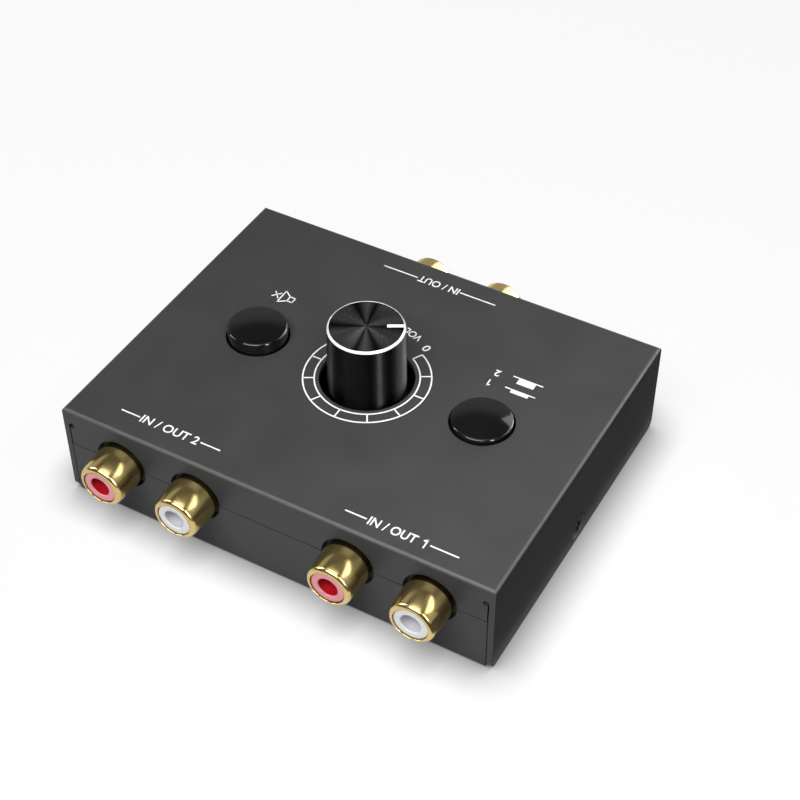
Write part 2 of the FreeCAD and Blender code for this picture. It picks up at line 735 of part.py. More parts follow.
def board_screws():
    body = new_body("board_screws")
    shanks = new_sketch(body, "board_screw_shanks", rise=board_top)
    heads = new_sketch(body, "board_screw_heads", rise=board_top)
    for x, y in board_corners_signed():
        draw_circle(shanks, size.board_screw_radius, x, y)
        draw_circle(heads, size.board_screw_head, x, y)
    pad(body, shanks, "board_screw_shank_pads", size.board_screw_length, reverse=True)
    pad(body, heads, "board_screw_head_pads", size.board_screw_head_height)
    head_top = board_top + size.board_screw_head_height
    dress(body, "board_screw_head_rounding", "Fillet", size.board_screw_head_height / 2,
          level_edges(head_top))
    for index, (x, y) in enumerate(board_corners_signed()):
        cross = new_sketch(body, f"board_screw_cross_{index}", rise=head_top)
        bind(cross, "AttachmentOffset.Base.x", x)
        bind(cross, "AttachmentOffset.Base.y", y)
        draw_cross(cross, size.cross_span, size.cross_width)
        pocket(body, cross, f"board_screw_cross_cut_{index}", size.cross_depth)
    return body


# Phono sockets, each built with its axis along -Y and its origin in the front of the case

def socket_shell(name):
    body = new_body(name)
    profile = new_sketch(body, f"{name}_profile")
    flange_back = housing_front + size.flange_thickness
    draw_outline(profile, (
        (size.shell_bore, -size.shell_reach), (size.shell_radius, -size.shell_reach),
        (size.shell_radius, -size.shell_neck_place), (size.shell_neck, -size.shell_neck_place),
        (size.shell_neck, housing_front), (size.flange_radius, housing_front),
        (size.flange_radius, flange_back), (size.shell_neck, flange_back),
        (size.shell_neck, size.shell_tail), (size.shell_bore, size.shell_tail),
    ))
    turn(body, profile, f"{name}_tube")
    tab = new_sketch(body, f"{name}_tab_outline", "XZ_Plane",
                     rise=-(size.ground_tab_place + size.ground_tab_thickness / 2))
    tab_root = (size.shell_neck + size.shell_bore) / 2
    tab_length = jack_pin_foot - tab_root
    draw_rectangle(tab, size.ground_tab_width, tab_length, ZERO, -(tab_root + tab_length / 2))
    pad(body, tab, f"{name}_tab", size.ground_tab_thickness)
    mouth = -number(size.shell_reach)

    def mouth_edges(bounds):
        return at(bounds.YMax, mouth)

    dress(body, f"{name}_lip", "Fillet", size.shell_lip, mouth_edges)
    return body


def socket_housing(name):
    body = new_body(name)
    play = size.fit_play
    face = new_sketch(body, f"{name}_face", "XZ_Plane", rise=-housing_back)
    height = jack_drop + size.housing_rise
    draw_rectangle(face, size.housing_width, height, ZERO, size.housing_rise - height / 2)
    pad(body, face, f"{name}_block", size.housing_depth)
    upper = number(size.housing_rise)
    dress(body, f"{name}_bevel", "Chamfer", size.housing_bevel, lambda bounds: (
        at(bounds.ZMin, upper) and at(bounds.ZMax, upper) and at(bounds.XMin, bounds.XMax)))

    bore = new_sketch(body, f"{name}_bore_profile")
    flange_back = housing_front + size.flange_thickness + play
    tail_back = size.shell_tail + play
    draw_outline(bore, (
        (ZERO, housing_front), (size.flange_radius + play, housing_front),
        (size.flange_radius + play, flange_back), (size.shell_neck + play, flange_back),
        (size.shell_neck + play, tail_back), (insert_radius + play, tail_back),
        (insert_radius + play, size.insert_back + play), (ZERO, size.insert_back + play),
    ))
    turn(body, bore, f"{name}_bore", cut=True)

    tab = new_sketch(body, f"{name}_tab_slot", rise=-jack_drop)
    draw_rectangle(tab, size.ground_tab_width + 2 * play, size.ground_tab_thickness + 2 * play,
                   ZERO, size.ground_tab_place)
    pocket(body, tab, f"{name}_tab_cut", jack_drop, reverse=True)
    tail = new_sketch(body, f"{name}_tail_slot", rise=-jack_drop)
    tail_front = size.tail_place - size.tail_thickness / 2 - play
    slot_length = housing_back - tail_front
    draw_rectangle(tail, size.tail_width + 2 * play, slot_length, ZERO, tail_front + slot_length / 2)
    pocket(body, tail, f"{name}_tail_cut", jack_drop, reverse=True)

    pegs = new_sketch(body, f"{name}_peg_plan", rise=-jack_drop)
    for side in (-1, 1):
        draw_circle(pegs, size.peg_radius, side * size.peg_side, size.peg_place)
    pad(body, pegs, f"{name}_pegs", size.peg_length, reverse=True)
    return body


def socket_insert(name):
    body = new_body(name)
    play = size.fit_play
    profile = new_sketch(body, f"{name}_profile")
    seat = contact_radius + play
    draw_outline(profile, (
        (size.insert_hole, insert_front), (insert_radius - size.insert_edge, insert_front),
        (insert_radius, insert_front + size.insert_edge), (insert_radius, size.insert_back),
        (seat, size.insert_back), (seat, contact_front), (size.insert_hole, contact_front),
    ))
    turn(body, profile, f"{name}_core")
    slot = new_sketch(body, f"{name}_tail_slot", rise=-size.shell_bore)
    slot_front = size.tail_place - size.tail_thickness / 2 - play
    slot_length = size.insert_back + play - slot_front
    draw_rectangle(slot, size.tail_width + 2 * play, slot_length, ZERO, slot_front + slot_length / 2)
    pocket(body, slot, f"{name}_tail_cut", size.shell_bore, reverse=True)
    return body


def socket_contact(name):
    body = new_body(name)
    profile = new_sketch(body, f"{name}_profile")
    inner_back = size.tail_place - size.tail_thickness / 2
    draw_outline(profile, (
        (size.contact_bore, contact_front + size.fit_play),
        (contact_radius, contact_front + size.fit_play),
        (contact_radius, contact_back), (ZERO, contact_back), (ZERO, inner_back),
        (size.contact_bore, inner_back),
    ))
    turn(body, profile, f"{name}_tube")
    slit = new_sketch(body, f"{name}_slit_plan")
    slit_length = (inner_back - contact_front) / 2
    draw_rectangle(slit, size.contact_slit, slit_length, ZERO, contact_front + slit_length / 2)
    pocket(body, slit, f"{name}_slit", contact_radius * 4, symmetric=True)
    tail = new_sketch(body, f"{name}_tail_outline", "XZ_Plane", rise=-contact_back)
    tail_length = jack_pin_foot - size.contact_bore
    draw_rectangle(tail, size.tail_width, tail_length, ZERO,
                   -(size.contact_bore + tail_length / 2))
    pad(body, tail, f"{name}_tail", size.tail_thickness)
    return body


def socket_places():
    """Each socket's name, place and turn: four in front, two behind."""
    pair, pitch = jack_pair_side, size.jack_pitch
    return (
        ("source_2_right", -pair - pitch / 2, -half_depth, 0),
        ("source_2_left", -pair + pitch / 2, -half_depth, 0),
        ("source_1_right", pair - pitch / 2, -half_depth, 0),
        ("source_1_left", pair + pitch / 2, -half_depth, 0),
        ("common_right", pitch / 2, half_depth, 180),
        ("common_left", -pitch / 2, half_depth, 180),
    )


def phono_sockets():
    pieces = []
    makers = (("shell", socket_shell), ("housing", socket_housing),
              ("insert", socket_insert), ("contact", socket_contact))
    for name, x, y, degrees in socket_places():
        for kind, make in makers:
            piece = make(f"{name}_jack_{kind}")
            pieces.append(move(piece, x, y, jack_height, degrees))
    return pieces


# Volume control

def pot_terminal_blocks(name, growth, base, height):
    """Six upright blocks where the potentiometer's terminals stand, wider by growth."""
    spans = (size.pot_pin_width + growth, size.pot_pin_thickness + growth, height)
    blocks = []
    for row in (-1, 1):
        for step in terminal_steps:
            blocks.append(block(f"{name}_{len(blocks)}", spans,
                                step * size.pot_pin_pitch, row * size.pot_pin_row, base))
    return blocks


def volume_pot_housing():
    body = doc.addObject("PartDesign::Body", "pot_housing_block")
    plan = new_sketch(body, "pot_plan", rise=board_top)
    draw_rectangle(plan, size.pot_width, size.pot_depth)
    pad(body, plan, "pot_block", size.pot_height)
    dress(body, "pot_corners", "Fillet", size.pot_edge, upright_edges)
    cavity = new_sketch(body, "pot_cavity_profile", "XZ_Plane")
    pivot_hole = size.pivot_radius + size.run_play
    pivot_floor = pot_cavity_floor - size.pivot_length - size.run_play
    draw_outline(cavity, (
        (ZERO, pivot_floor), (pivot_hole, pivot_floor), (pivot_hole, pot_cavity_floor),
        (size.pot_cavity, pot_cavity_floor), (size.pot_cavity, pot_top), (ZERO, pot_top),
    ))
    turn(body, cavity, "pot_cavity_cut", cut=True)
    slots = pot_terminal_blocks("pot_slot", 2 * size.fit_play, board_top, size.pot_pin_seat + size.fit_play)
    return labelled(cut("volume_pot_housing", body, slots))


def volume_pot_bushing():
    body = new_body("volume_pot_bushing")
    plate = new_sketch(body, "bushing_plate_plan", rise=pot_top)
    draw_rectangle(plate, size.pot_width, size.pot_depth)
    pad(body, plate, "bushing_plate", size.bushing_plate)
    dress(body, "bushing_corners", "Fillet", size.pot_edge, upright_edges)
    collar = new_sketch(body, "bushing_collar_plan", rise=bushing_bottom)
    draw_circle(collar, size.bushing_radius)
    collar_top = knob_foot - size.bushing_gap
    pad(body, collar, "bushing_collar", collar_top - bushing_bottom)
    bore = new_sketch(body, "bushing_bore_plan", rise=collar_top)
    draw_circle(bore, shaft_bore)
    pocket(body, bore, "bushing_bore", collar_top - pot_top)
    return body


def volume_pot_shaft():
    body = new_body("volume_pot_shaft")
    profile = new_sketch(body, "shaft_profile", "XZ_Plane")
    pivot_end = pot_cavity_floor - size.pivot_length
    shoulder = pot_top + size.run_play
    draw_outline(profile, (
        (ZERO, pivot_end), (size.pivot_radius, pivot_end),
        (size.pivot_radius, pot_cavity_floor + size.run_play),
        (size.shaft_waist, pot_cavity_floor + size.run_play), (size.shaft_waist, shoulder),
        (size.shaft_radius, shoulder), (size.shaft_radius, shaft_top), (ZERO, shaft_top),
    ))
    turn(body, profile, "shaft_solid")
    dress(body, "shaft_end_bevel", "Chamfer", size.shaft_radius / 8, level_edges(shaft_top))
    flat = new_sketch(body, "shaft_flat_plan", rise=shaft_top)
    waste = size.shaft_radius - size.shaft_flat
    draw_rectangle(flat, waste * 2, size.shaft_radius * 3, -(size.shaft_flat + waste))
    pocket(body, flat, "shaft_flat_cut", size.shaft_engagement)
    return move(body, degrees=size.knob_turn)


def volume_pot_track():
    body = new_body("volume_pot_track")
    plan = new_sketch(body, "track_plan", rise=pot_cavity_floor)
    draw_circle(plan, size.pot_cavity - size.fit_play)
    draw_circle(plan, size.track_inner)
    pad(body, plan, "track_disc", size.track_thickness)
    return body


def volume_pot_rotor():
    body = new_body("volume_pot_rotor")
    plan = new_sketch(body, "rotor_plan", rise=rotor_bottom)
    draw_circle(plan, size.rotor_radius)
    draw_circle(plan, size.shaft_waist)
    pad(body, plan, "rotor_disc", size.rotor_thickness)
    return body


def volume_pot_wipers():
    reach = (size.rotor_radius + size.track_inner) / 2
    span = size.rotor_radius - size.track_inner
    spans = (span, size.wiper_width, size.wiper_thickness)
    base = track_top + size.run_play
    strips = [block(f"wiper_{index}", spans, side * reach, ZERO, base)
              for index, side in enumerate((-1, 1))]
    return labelled(group("volume_pot_wipers", strips))


def volume_pot_terminals():
    blocks = pot_terminal_blocks("pot_terminal", 0, pin_foot, board_top - pin_foot + size.pot_pin_seat)
    return labelled(group("volume_pot_terminals", blocks))


def volume_knob():
    body = new_body("volume_knob")
    profile = new_sketch(body, "knob_profile", "XZ_Plane")
    draw_outline(profile, (
        (size.knob_cavity, knob_foot), (size.knob_radius, knob_foot),
        (size.knob_top_radius, knob_top - size.knob_edge),
        (size.knob_top_radius - size.knob_edge, knob_top), (ZERO, knob_top), (ZERO, knob_ceiling),
        (size.knob_cavity, knob_ceiling),
    ))
    turn(body, profile, "knob_solid")
    pointer = new_sketch(body, "pointer_plan", rise=knob_top)
    length = size.knob_radius + size.knob_edge - size.pointer_start
    draw_rectangle(pointer, length, size.pointer_width, size.pointer_start + length / 2)
    pocket(body, pointer, "pointer_groove", size.pointer_depth)
    return move(body, degrees=size.knob_turn)


def volume_knob_core():
    body = new_body("volume_knob_core")
    plan = new_sketch(body, "core_plan", rise=core_foot)
    draw_circle(plan, size.knob_cavity - size.fit_play)
    pad(body, plan, "core_solid", knob_ceiling - core_foot)
    bore = new_sketch(body, "core_bore_plan", rise=core_foot)
    draw_circle(bore, shaft_bore)
    pocket(body, bore, "core_bore", size.shaft_engagement + size.fit_play, reverse=True)
    key = new_sketch(body, "core_flat_plan", rise=core_foot + size.shaft_radius / 4)
    key_face = size.shaft_flat + size.fit_play
    key_depth = shaft_bore + size.fit_play - key_face
    draw_rectangle(key, key_depth, size.shaft_radius, -(key_face + key_depth / 2))
    pad(body, key, "core_flat", size.shaft_engagement - size.shaft_radius / 4)
    return move(body, degrees=size.knob_turn)


# Latching buttons, each built at the middle of the case as if it stood out, then moved

def switch_strips(name, growth, base, height):
    """Six upright strips where a switch's terminals stand, wider by growth."""
    spans = (size.strip_thickness + growth, size.strip_width + growth, height)
    strips = []
    for row in (-1, 1):
        for step in terminal_steps:
            strips.append(block(f"{name}_{len(strips)}", spans,
                                row * strip_side, step * size.strip_pitch, base))
    return strips


def latch_levels():
    """Heights of the latch wire's upper and lower ends."""
    lower = (slider_bottom + slider_top - size.press_travel) / 2
    return slider_top - size.latch_radius * 4, lower


def latch_side():
    """Distance of the latch wire from the switch's middle."""
    return (size.slider_width / 2 + switch_half_cavity) / 2


def switch_housing(name):
    whole = block(f"{name}_block", (size.switch_width, size.switch_width, size.switch_height), base=board_top)
    hollow = block(f"{name}_hollow", (switch_half_cavity * 2, switch_half_cavity * 2,
                                      switch_ceiling - switch_cavity_floor), base=switch_cavity_floor)
    post_hole = size.post_width + 2 * size.run_play
    mouth = block(f"{name}_mouth", (post_hole, post_hole, size.switch_roof * 2), base=switch_ceiling)
    slots = switch_strips(f"{name}_slot", 2 * size.fit_play, board_top, size.switch_floor * 2)
    upper, _ = latch_levels()
    pivot = rod(f"{name}_pivot", size.latch_radius + size.fit_play, size.switch_wall,
                ZERO, latch_side(), upper, FreeCAD.Vector(0, 1, 0))
    return labelled(cut(name, whole, [hollow, mouth, pivot] + slots))


def switch_plunger(name):
    body = new_body(name)
    slider = new_sketch(body, f"{name}_slider_plan", rise=slider_bottom)
    draw_rectangle(slider, size.slider_width, size.slider_width)
    pad(body, slider, f"{name}_slider", size.slider_height)
    post = new_sketch(body, f"{name}_post_plan", rise=slider_top)
    draw_rectangle(post, size.post_width, size.post_width)
    pad(body, post, f"{name}_post", post_top - slider_top)
    seat = new_sketch(body, f"{name}_seat_plan", rise=slider_bottom)
    draw_circle(seat, size.spring_seat_radius)
    pocket(body, seat, f"{name}_seat", size.spring_seat_depth, reverse=True)
    cam = new_sketch(body, f"{name}_cam_plan", rise=slider_bottom)
    draw_rectangle(cam, size.cam_width, size.cam_depth * 2, ZERO, size.slider_width / 2)
    pocket(body, cam, f"{name}_cam", size.slider_height, reverse=True)
    return body


def switch_contacts(name):
    spans = (size.bridge_thickness, size.bridge_width, size.bridge_height)
    side = (size.slider_width + size.bridge_thickness) / 2
    base = (slider_bottom + slider_top - size.bridge_height) / 2
    bridges = [block(f"{name}_{index}", spans, sign * side, ZERO, base)
               for index, sign in enumerate((-1, 1))]
    return labelled(group(name, bridges))


def switch_latch(name):
    """A wire with two bent ends: the upper in the housing wall, the lower in the cam groove."""
    upper, lower = latch_levels()
    side = latch_side()
    wire = rod(f"{name}_wire", size.latch_radius, upper - lower, ZERO, side, lower)
    pivot = rod(f"{name}_pivot", size.latch_radius, size.switch_wall - size.fit_play,
                ZERO, side, upper, FreeCAD.Vector(0, 1, 0))
    follower = rod(f"{name}_follower", size.latch_radius, size.cam_depth * 0.8,
                   ZERO, side, lower, FreeCAD.Vector(0, -1, 0))
    return labelled(fuse(name, [wire, pivot, follower]))


def arc_leaving(start, heading, end):
    """The arc that leaves start along heading and reaches end, as its three points."""
    chord = end - start
    aside = (heading - chord * (heading.dot(chord) / chord.dot(chord))).normalize()
    rise = chord.Length / 2 * math.tan(chord.getAngle(heading) / 2)
    return start, (start + end) / 2 + aside * rise, end


def coil_line(radius, height, turns):
    """A coil about the upright axis: two arcs that share a tangent for each quarter turn."""
    count = round(turns * 4)
    slope = height / (2 * math.pi * turns)

    def station(index):
        angle = index * math.pi / 2
        place = FreeCAD.Vector(radius * math.cos(angle), radius * math.sin(angle), slope * angle)
        heading = FreeCAD.Vector(-radius * math.sin(angle), radius * math.cos(angle), slope)
        return place, heading.normalize()

    edges = []
    for index in range(count):
        start, leaving = station(index)
        end, arriving = station(index + 1)
        span = end - start
        bend = 2 * (1 - leaving.dot(arriving))
        forward = span.dot(leaving + arriving)
        reach = (math.sqrt(forward ** 2 + bend * span.dot(span)) - forward) / bend
        joint = (start + end + (leaving - arriving) * reach) / 2
        first = arc_leaving(start, leaving, joint)
        second = arc_leaving(end, -arriving, joint)
        edges += [Part.Arc(*first).toShape(), Part.Arc(*reversed(second)).toShape()]
    return Part.Wire(edges)


def switch_spring(name, pressed):
    """A return spring between the housing floor and its seat in the slider."""
    wire_radius = number(size.spring_wire) / 2
    radius = number(size.coil_radius)
    height = number(spring_top - pressed - switch_cavity_floor - size.spring_wire)
    line = coil_line(radius, height, number(size.spring_turns))
    heading = FreeCAD.Vector(0, radius, height / (2 * math.pi * number(size.spring_turns)))
    section = Part.Circle(FreeCAD.Vector(radius, 0, 0), heading, wire_radius).toShape()
    spring = doc.addObject("Part::Feature", name)
    spring.Shape = line.makePipeShell([Part.Wire([section])], True, False)
    return labelled(spring)


def button_cap(name):
    body = new_body(name)
    profile = new_sketch(body, f"{name}_profile", "XZ_Plane")
    rim_drop = size.cap_dome - root_of(size.cap_dome * size.cap_dome - size.cap_radius * size.cap_radius)
    inner = size.cap_radius - size.cap_wall
    draw_outline(profile, (
        (inner, cap_bottom), (size.cap_radius, cap_bottom),
        (size.cap_radius, cap_top - rim_drop, size.cap_dome),
        (ZERO, cap_top), (ZERO, cap_ceiling), (inner, cap_ceiling),
    ))
    turn(body, profile, f"{name}_cup")
    rim = number(cap_top - rim_drop)
    dress(body, f"{name}_edge", "Fillet", size.cap_edge,
          lambda bounds: at(bounds.ZMin, rim) and at(bounds.ZMax, rim))
    boss = new_sketch(body, f"{name}_boss_plan", rise=cap_boss_bottom)
    draw_circle(boss, size.cap_boss)
    pad(body, boss, f"{name}_boss", size.cap_boss_length)
    socket = new_sketch(body, f"{name}_socket_plan", rise=cap_boss_bottom)
    socket_width = size.post_width + 2 * size.fit_play
    draw_rectangle(socket, socket_width, socket_width)
    pocket(body, socket, f"{name}_socket", size.cap_boss_length, reverse=True)
    return body


def latching_button(prefix, x, pressed):
    """One button and its switch; pressed is how far its moving pieces stand below the outer stop."""
    moving = (
        button_cap(f"{prefix}_button_cap"),
        switch_plunger(f"{prefix}_switch_plunger"),
        switch_contacts(f"{prefix}_switch_contacts"),
    )
    terminal_height = switch_cavity_floor + size.strip_rise - pin_foot
    terminals = switch_strips(f"{prefix}_terminal", 0, pin_foot, terminal_height)
    fixed = (
        switch_housing(f"{prefix}_switch_housing"),
        labelled(group(f"{prefix}_switch_terminals", terminals)),
        switch_latch(f"{prefix}_switch_latch"),
    )
    spring = switch_spring(f"{prefix}_switch_spring", pressed)
    spring_foot = switch_cavity_floor + size.spring_wire / 2
    return (
        [move(piece, x, ZERO, -pressed if pressed is not ZERO else ZERO) for piece in moving]
        + [move(piece, x) for piece in fixed]
        + [move(spring, x, ZERO, spring_foot)]
    )


sub_parts = [top_cover(), bottom_tray(), side_screws(), circuit_board(), board_spacers(), board_screws()]
sub_parts += phono_sockets()
sub_parts += [
    volume_pot_housing(), volume_pot_bushing(), volume_pot_shaft(), volume_pot_track(),
    volume_pot_rotor(), volume_pot_wipers(), volume_pot_terminals(), volume_knob(), volume_knob_core(),
]
sub_parts += latching_button("mute", -button_side, ZERO)
sub_parts += latching_button("source", button_side, size.latch_depth)
doc.recompute()

# Nothing is written unless every feature worked and every cut took something away
for item in doc.Objects:
    if "Invalid" in item.State or "Error" in item.State:
        raise RuntimeError(f"{item.Name} is {item.State}")
    if item.TypeId in ("PartDesign::Pocket", "PartDesign::Groove"):
        if item.BaseFeature.Shape.Volume - item.Shape.Volume < 1e-4:
            raise RuntimeError(f"{item.Name} cuts nothing")
for part in sub_parts:
    if part.Shape.isNull() or not part.Shape.isValid():
        raise RuntimeError(f"{part.Label} has no valid shape")

os.makedirs("parts", exist_ok=True)
for part in sub_parts:
    part.Shape.exportStep(f"parts/{part.Label}.step")
    print(f"{part.Label}: {len(part.Shape.Solids)} solids, {part.Shape.Volume:.1f} cubic mm")
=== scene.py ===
import math

import bpy
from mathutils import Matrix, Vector


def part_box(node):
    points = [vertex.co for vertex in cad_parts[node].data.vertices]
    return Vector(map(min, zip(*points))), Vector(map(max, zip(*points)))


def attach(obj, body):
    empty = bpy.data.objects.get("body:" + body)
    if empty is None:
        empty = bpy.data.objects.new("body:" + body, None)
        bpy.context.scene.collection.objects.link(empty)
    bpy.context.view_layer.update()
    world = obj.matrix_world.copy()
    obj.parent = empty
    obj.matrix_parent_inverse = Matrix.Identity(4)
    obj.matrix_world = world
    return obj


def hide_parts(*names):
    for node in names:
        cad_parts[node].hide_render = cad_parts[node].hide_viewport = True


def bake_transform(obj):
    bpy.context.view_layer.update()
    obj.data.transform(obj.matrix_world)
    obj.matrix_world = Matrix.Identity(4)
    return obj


# The look of an audio source selector: a powder-coated box with a black knob, two glossy buttons
# and six gold phono sockets. Metres; the front faces -Y, and the knob turns about +Z.

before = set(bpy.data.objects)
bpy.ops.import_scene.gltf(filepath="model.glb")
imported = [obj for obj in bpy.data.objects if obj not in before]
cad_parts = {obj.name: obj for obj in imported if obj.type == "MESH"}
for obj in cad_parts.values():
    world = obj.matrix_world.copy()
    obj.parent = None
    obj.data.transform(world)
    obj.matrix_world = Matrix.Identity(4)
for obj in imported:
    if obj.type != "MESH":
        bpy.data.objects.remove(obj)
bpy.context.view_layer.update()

MM = 0.001

# Where things are, read from the frame
COVER_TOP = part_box("top_cover")[1].z
FRONT_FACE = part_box("top_cover")[0].y
BACK_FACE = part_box("top_cover")[1].y
KNOB_LOW, KNOB_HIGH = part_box("volume_knob")
SCREW_LOW, SCREW_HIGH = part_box("side_screws")
FRONT_SOCKETS = ("source_2_right", "source_2_left", "source_1_right", "source_1_left")
BACK_SOCKETS = ("common_right", "common_left")

# Fineness of the meshes
ROUND = 96                          # sides of a turned piece
SEAM = 0.01 * MM                    # the least step or overlap where two pieces meet
MERGE = 0.001 * MM                  # nearer than this, two points of a turned piece are one

# The knob
KNOB_RADIUS = 6.7 * MM
KNOB_TOP_RADIUS = 6.5 * MM
KNOB_FOOT_BEVEL = 0.3 * MM
KNOB_CAVITY = 5.2 * MM
KNOB_CROWN = 2.4 * MM               # height of the metal above the cavity
BRIGHT_EDGE_HEIGHT = 0.4 * MM
BRIGHT_EDGE_WIDTH = 0.32 * MM
FACE_DROP = 0.05 * MM               # from the bright edge down to the spun face
FACE_PIT = 0.35 * MM                # radius of the turning mark in the face's middle
FACE_PIT_FLOOR = 0.25 * MM          # radius of its floor
FACE_PIT_DEPTH = 0.04 * MM
POINTER_WIDTH = 0.7 * MM
POINTER_THICKNESS = 0.05 * MM
POINTER_START = 3.4 * MM
POINTER_END = KNOB_TOP_RADIUS - 0.25 * MM
POINTER_TURN = math.radians(30)

# The buttons
CAP_RADIUS = 5.2 * MM
CAP_DOME = 24 * MM                  # radius of the domed top
CAP_EDGE = 0.4 * MM
CAP_EDGE_TURN = 84                  # degrees of the round edge, up to the dome
CAP_FOOT_BEVEL = 0.1 * MM
CAP_WALL = 0.9 * MM
CAP_ROOF = 1.4 * MM
DOME_RINGS = (0.85, 0.7, 0.55, 0.4, 0.25, 0.1)      # shares of the dome's radius

# The return springs
SPRING_WIRE = 0.25 * MM
SPRING_WIRE_SIDES = 12
SPRING_TURNS = 5
SPRING_STEPS = 24                   # in each turn

# The sockets: along a socket's axis, 0 is the case wall and + is outwards
SHELL_RADIUS = 4.2 * MM
SHELL_BORE = 3.15 * MM
SHELL_REACH = 6.2 * MM
SHELL_TAIL = 4.4 * MM
SHELL_NECK = 4.0 * MM
NECK_PLACE = 0.6 * MM
SHOULDER_BEVEL = 0.06 * MM
SHELL_CROWN = 0.24 * MM             # how much the shell narrows towards its mouth
CROWN_LENGTH = 2.9 * MM
CROWN_STEPS = 5
LIP = 0.85 * MM
BORE_EDGE = 0.12 * MM
FLANGE_RADIUS = 5.0 * MM
FLANGE_FRONT = 1.2 * MM
FLANGE_BACK = 2.1 * MM
TAB_WIDTH = 1.4 * MM
TAB_THICKNESS = 0.8 * MM
TAB_PLACE = 3.8 * MM
TAB_BEVEL = 0.08 * MM
INSERT_RADIUS = 3.1 * MM
INSERT_RECESS = 0.2 * MM
INSERT_BACK = 8.9 * MM
INSERT_EDGE = 0.3 * MM
THROAT_RADIUS = 1.8 * MM
THROAT_EDGE = 0.12 * MM
THROAT_FLOOR = 0.2 * MM
CONTACT_SEAT = 1.65 * MM
CONTACT_DEPTH = 2.6 * MM

# The print on the cover
PRINT_HEIGHT = 0.03 * MM
PRINT_LINE = 0.26 * MM
FINE_LINE = 0.23 * MM
LINE_OVERRUN = 0.49                 # how far a line runs past its ends, as a share of its width
DIAL_OUTER = 10.8 * MM
DIAL_INNER = 8.87 * MM
DIAL_STEPS = 10
DIAL_SIDES = 100
DIAL_START = math.radians(120)
DIAL_TURN = math.radians(300)
LETTER_STEPS = 6                    # in each curve of a letter
LETTER_WEIGHT = 0.012
LETTER_MERGE = 0.0005 * MM
FIGURE_LINE = 0.15                  # the figure 1, in shares of its height
FIGURE_STEM = 0.12
FIGURE_FLAG = (-0.26, -0.17)

# The finishes
NOISE_MIDDLE = (0.3, 0.7)           # where most of a noise's values lie
# Painted highlight along the cover's top folds
FOLD_HEIGHT = 1.2 * MM
FOLD_HIGHLIGHT_GREY = 0.09
FOLD_HIGHLIGHT_STRENGTH = 2.0
SIDE_FOLD_HIGHLIGHT = 0.4                     # how much the painted highlight shows on the side folds, against the front and back ones
# Painted shade in the gap round each side screw's head: its width and its grey
SCREW_GAP = 0.28 * MM
SCREW_GAP_SHADE_GREY = 0.002
SPUN_PITCH = 0.9 * MM
# Rays of painted highlight round the knob's face: the place in the turn, and the level
SPUN_RAY_HIGHLIGHTS = ((0.147, 0.05), (0.25, 0.85), (0.371, 1.0), (0.50, 0.75), (0.572, 0.05),
             (0.656, 0.9), (0.763, 0.05), (0.85, 0.8), (0.93, 1.0))
# Streaks of painted highlight round the knob's side: the place in the turn, and the level
SIDE_STREAK_HIGHLIGHTS = ((0.12, 0.35), (0.147, 0.8), (0.194, 0.2), (0.239, 0.38), (0.27, 0.18), (0.345, 0.15),
                (0.385, 0.6), (0.433, 0.18), (0.480, 0.9), (0.53, 0.9), (0.57, 0.35))

# The studio
FLOOR_SIZE = 6
FLOOR_WHITE = 0.86                  # for the camera
FLOOR_GREY = 0.25                   # for the light that it sends back
FLOOR_GLOW = 0.86                   # share of plain white in what the camera sees
FLOOR_GLOSS = 0.5                   # how much of that white shows in gloss
SHADOW_REACH = 7.5 * MM
SHADOW_POWER = 1.6
CARD_EDGE = 41 * MM                 # to the right of it the floor is black in gloss
CARD_BLACK = 0.06
WORLD_LIGHT = 0.14
WALL_GLOSS = 0.38
CEILING_GLOSS = 0.09
WALL_TOP = (0.55, 0.72)             # where the wall turns into ceiling, by the height of the direction
WALL_MIDDLE = (0.30, 0.95, 0.0)     # the direction of the wall's middle
WALL_ENDS = (-0.45, -0.15)          # where the wall ends, by how close a direction is to its middle

# The camera, at the photograph's own viewpoint
CAMERA_AZIMUTH = math.radians(29.346)
CAMERA_ELEVATION = math.radians(43.948)
CAMERA_TARGET = Vector((1.073, 9.274, 6.011)) * MM
CAMERA_DISTANCE = 302.2 * MM
CAMERA_LENS = 77.56
CAMERA_SENSOR = 36
CAMERA_CLIP = (0.01, 20)


def mm(*lengths):
    """Lengths that are written in millimetres, such as the two of a point."""
    return tuple(length * MM for length in lengths)


# Shapes

def deselect_all():
    bpy.ops.object.select_all(action="DESELECT")


def select_only(piece):
    deselect_all()
    piece.select_set(True)
    bpy.context.view_layer.objects.active = piece


def edit_all():
    """Open the mesh with all of it selected."""
    bpy.ops.object.mode_set(mode="EDIT")
    bpy.ops.mesh.select_all(action="SELECT")


def close_mesh():
    bpy.ops.object.mode_set(mode="OBJECT")


def close_outwards():
    """Turn every face outwards and close the mesh."""
    bpy.ops.mesh.select_all(action="SELECT")
    bpy.ops.mesh.normals_make_consistent(inside=False)
    close_mesh()


def raise_up(height):
    bpy.ops.mesh.extrude_region_move(TRANSFORM_OT_translate={"value": (0, 0, height)})


def settle(piece):
    """Leave the piece's place in its mesh."""
    select_only(piece)
    bpy.ops.object.transform_apply(location=True, rotation=True, scale=True)


def put(piece, place, turn=(0, 0, 0)):
    piece.location = place
    piece.rotation_euler = turn
    settle(piece)


def smooth(piece, angle=35):
    select_only(piece)
    bpy.ops.object.shade_smooth_by_angle(angle=math.radians(angle))


def turn_through(rings, fill):
    """A circle at the first ring's radius and height, drawn out through the others and left open to edit."""
    deselect_all()
    radius, height = rings[0]
    bpy.ops.mesh.primitive_circle_add(vertices=ROUND, radius=radius, fill_type=fill, location=(0, 0, height))
    piece = bpy.context.object
    edit_all()
    for (radius, height), (next_radius, next_height) in zip(rings, rings[1:]):
        raise_up(next_height - height)
        share = next_radius / radius
        bpy.ops.transform.resize(value=(share, share, 1), center_override=(0, 0, next_height))
    return piece


def turned(rings):
    """A piece turned about the upright axis: the radius and height of each ring, from its foot to its end."""
    piece = turn_through(rings, "NGON")
    close_outwards()
    settle(piece)
    return piece


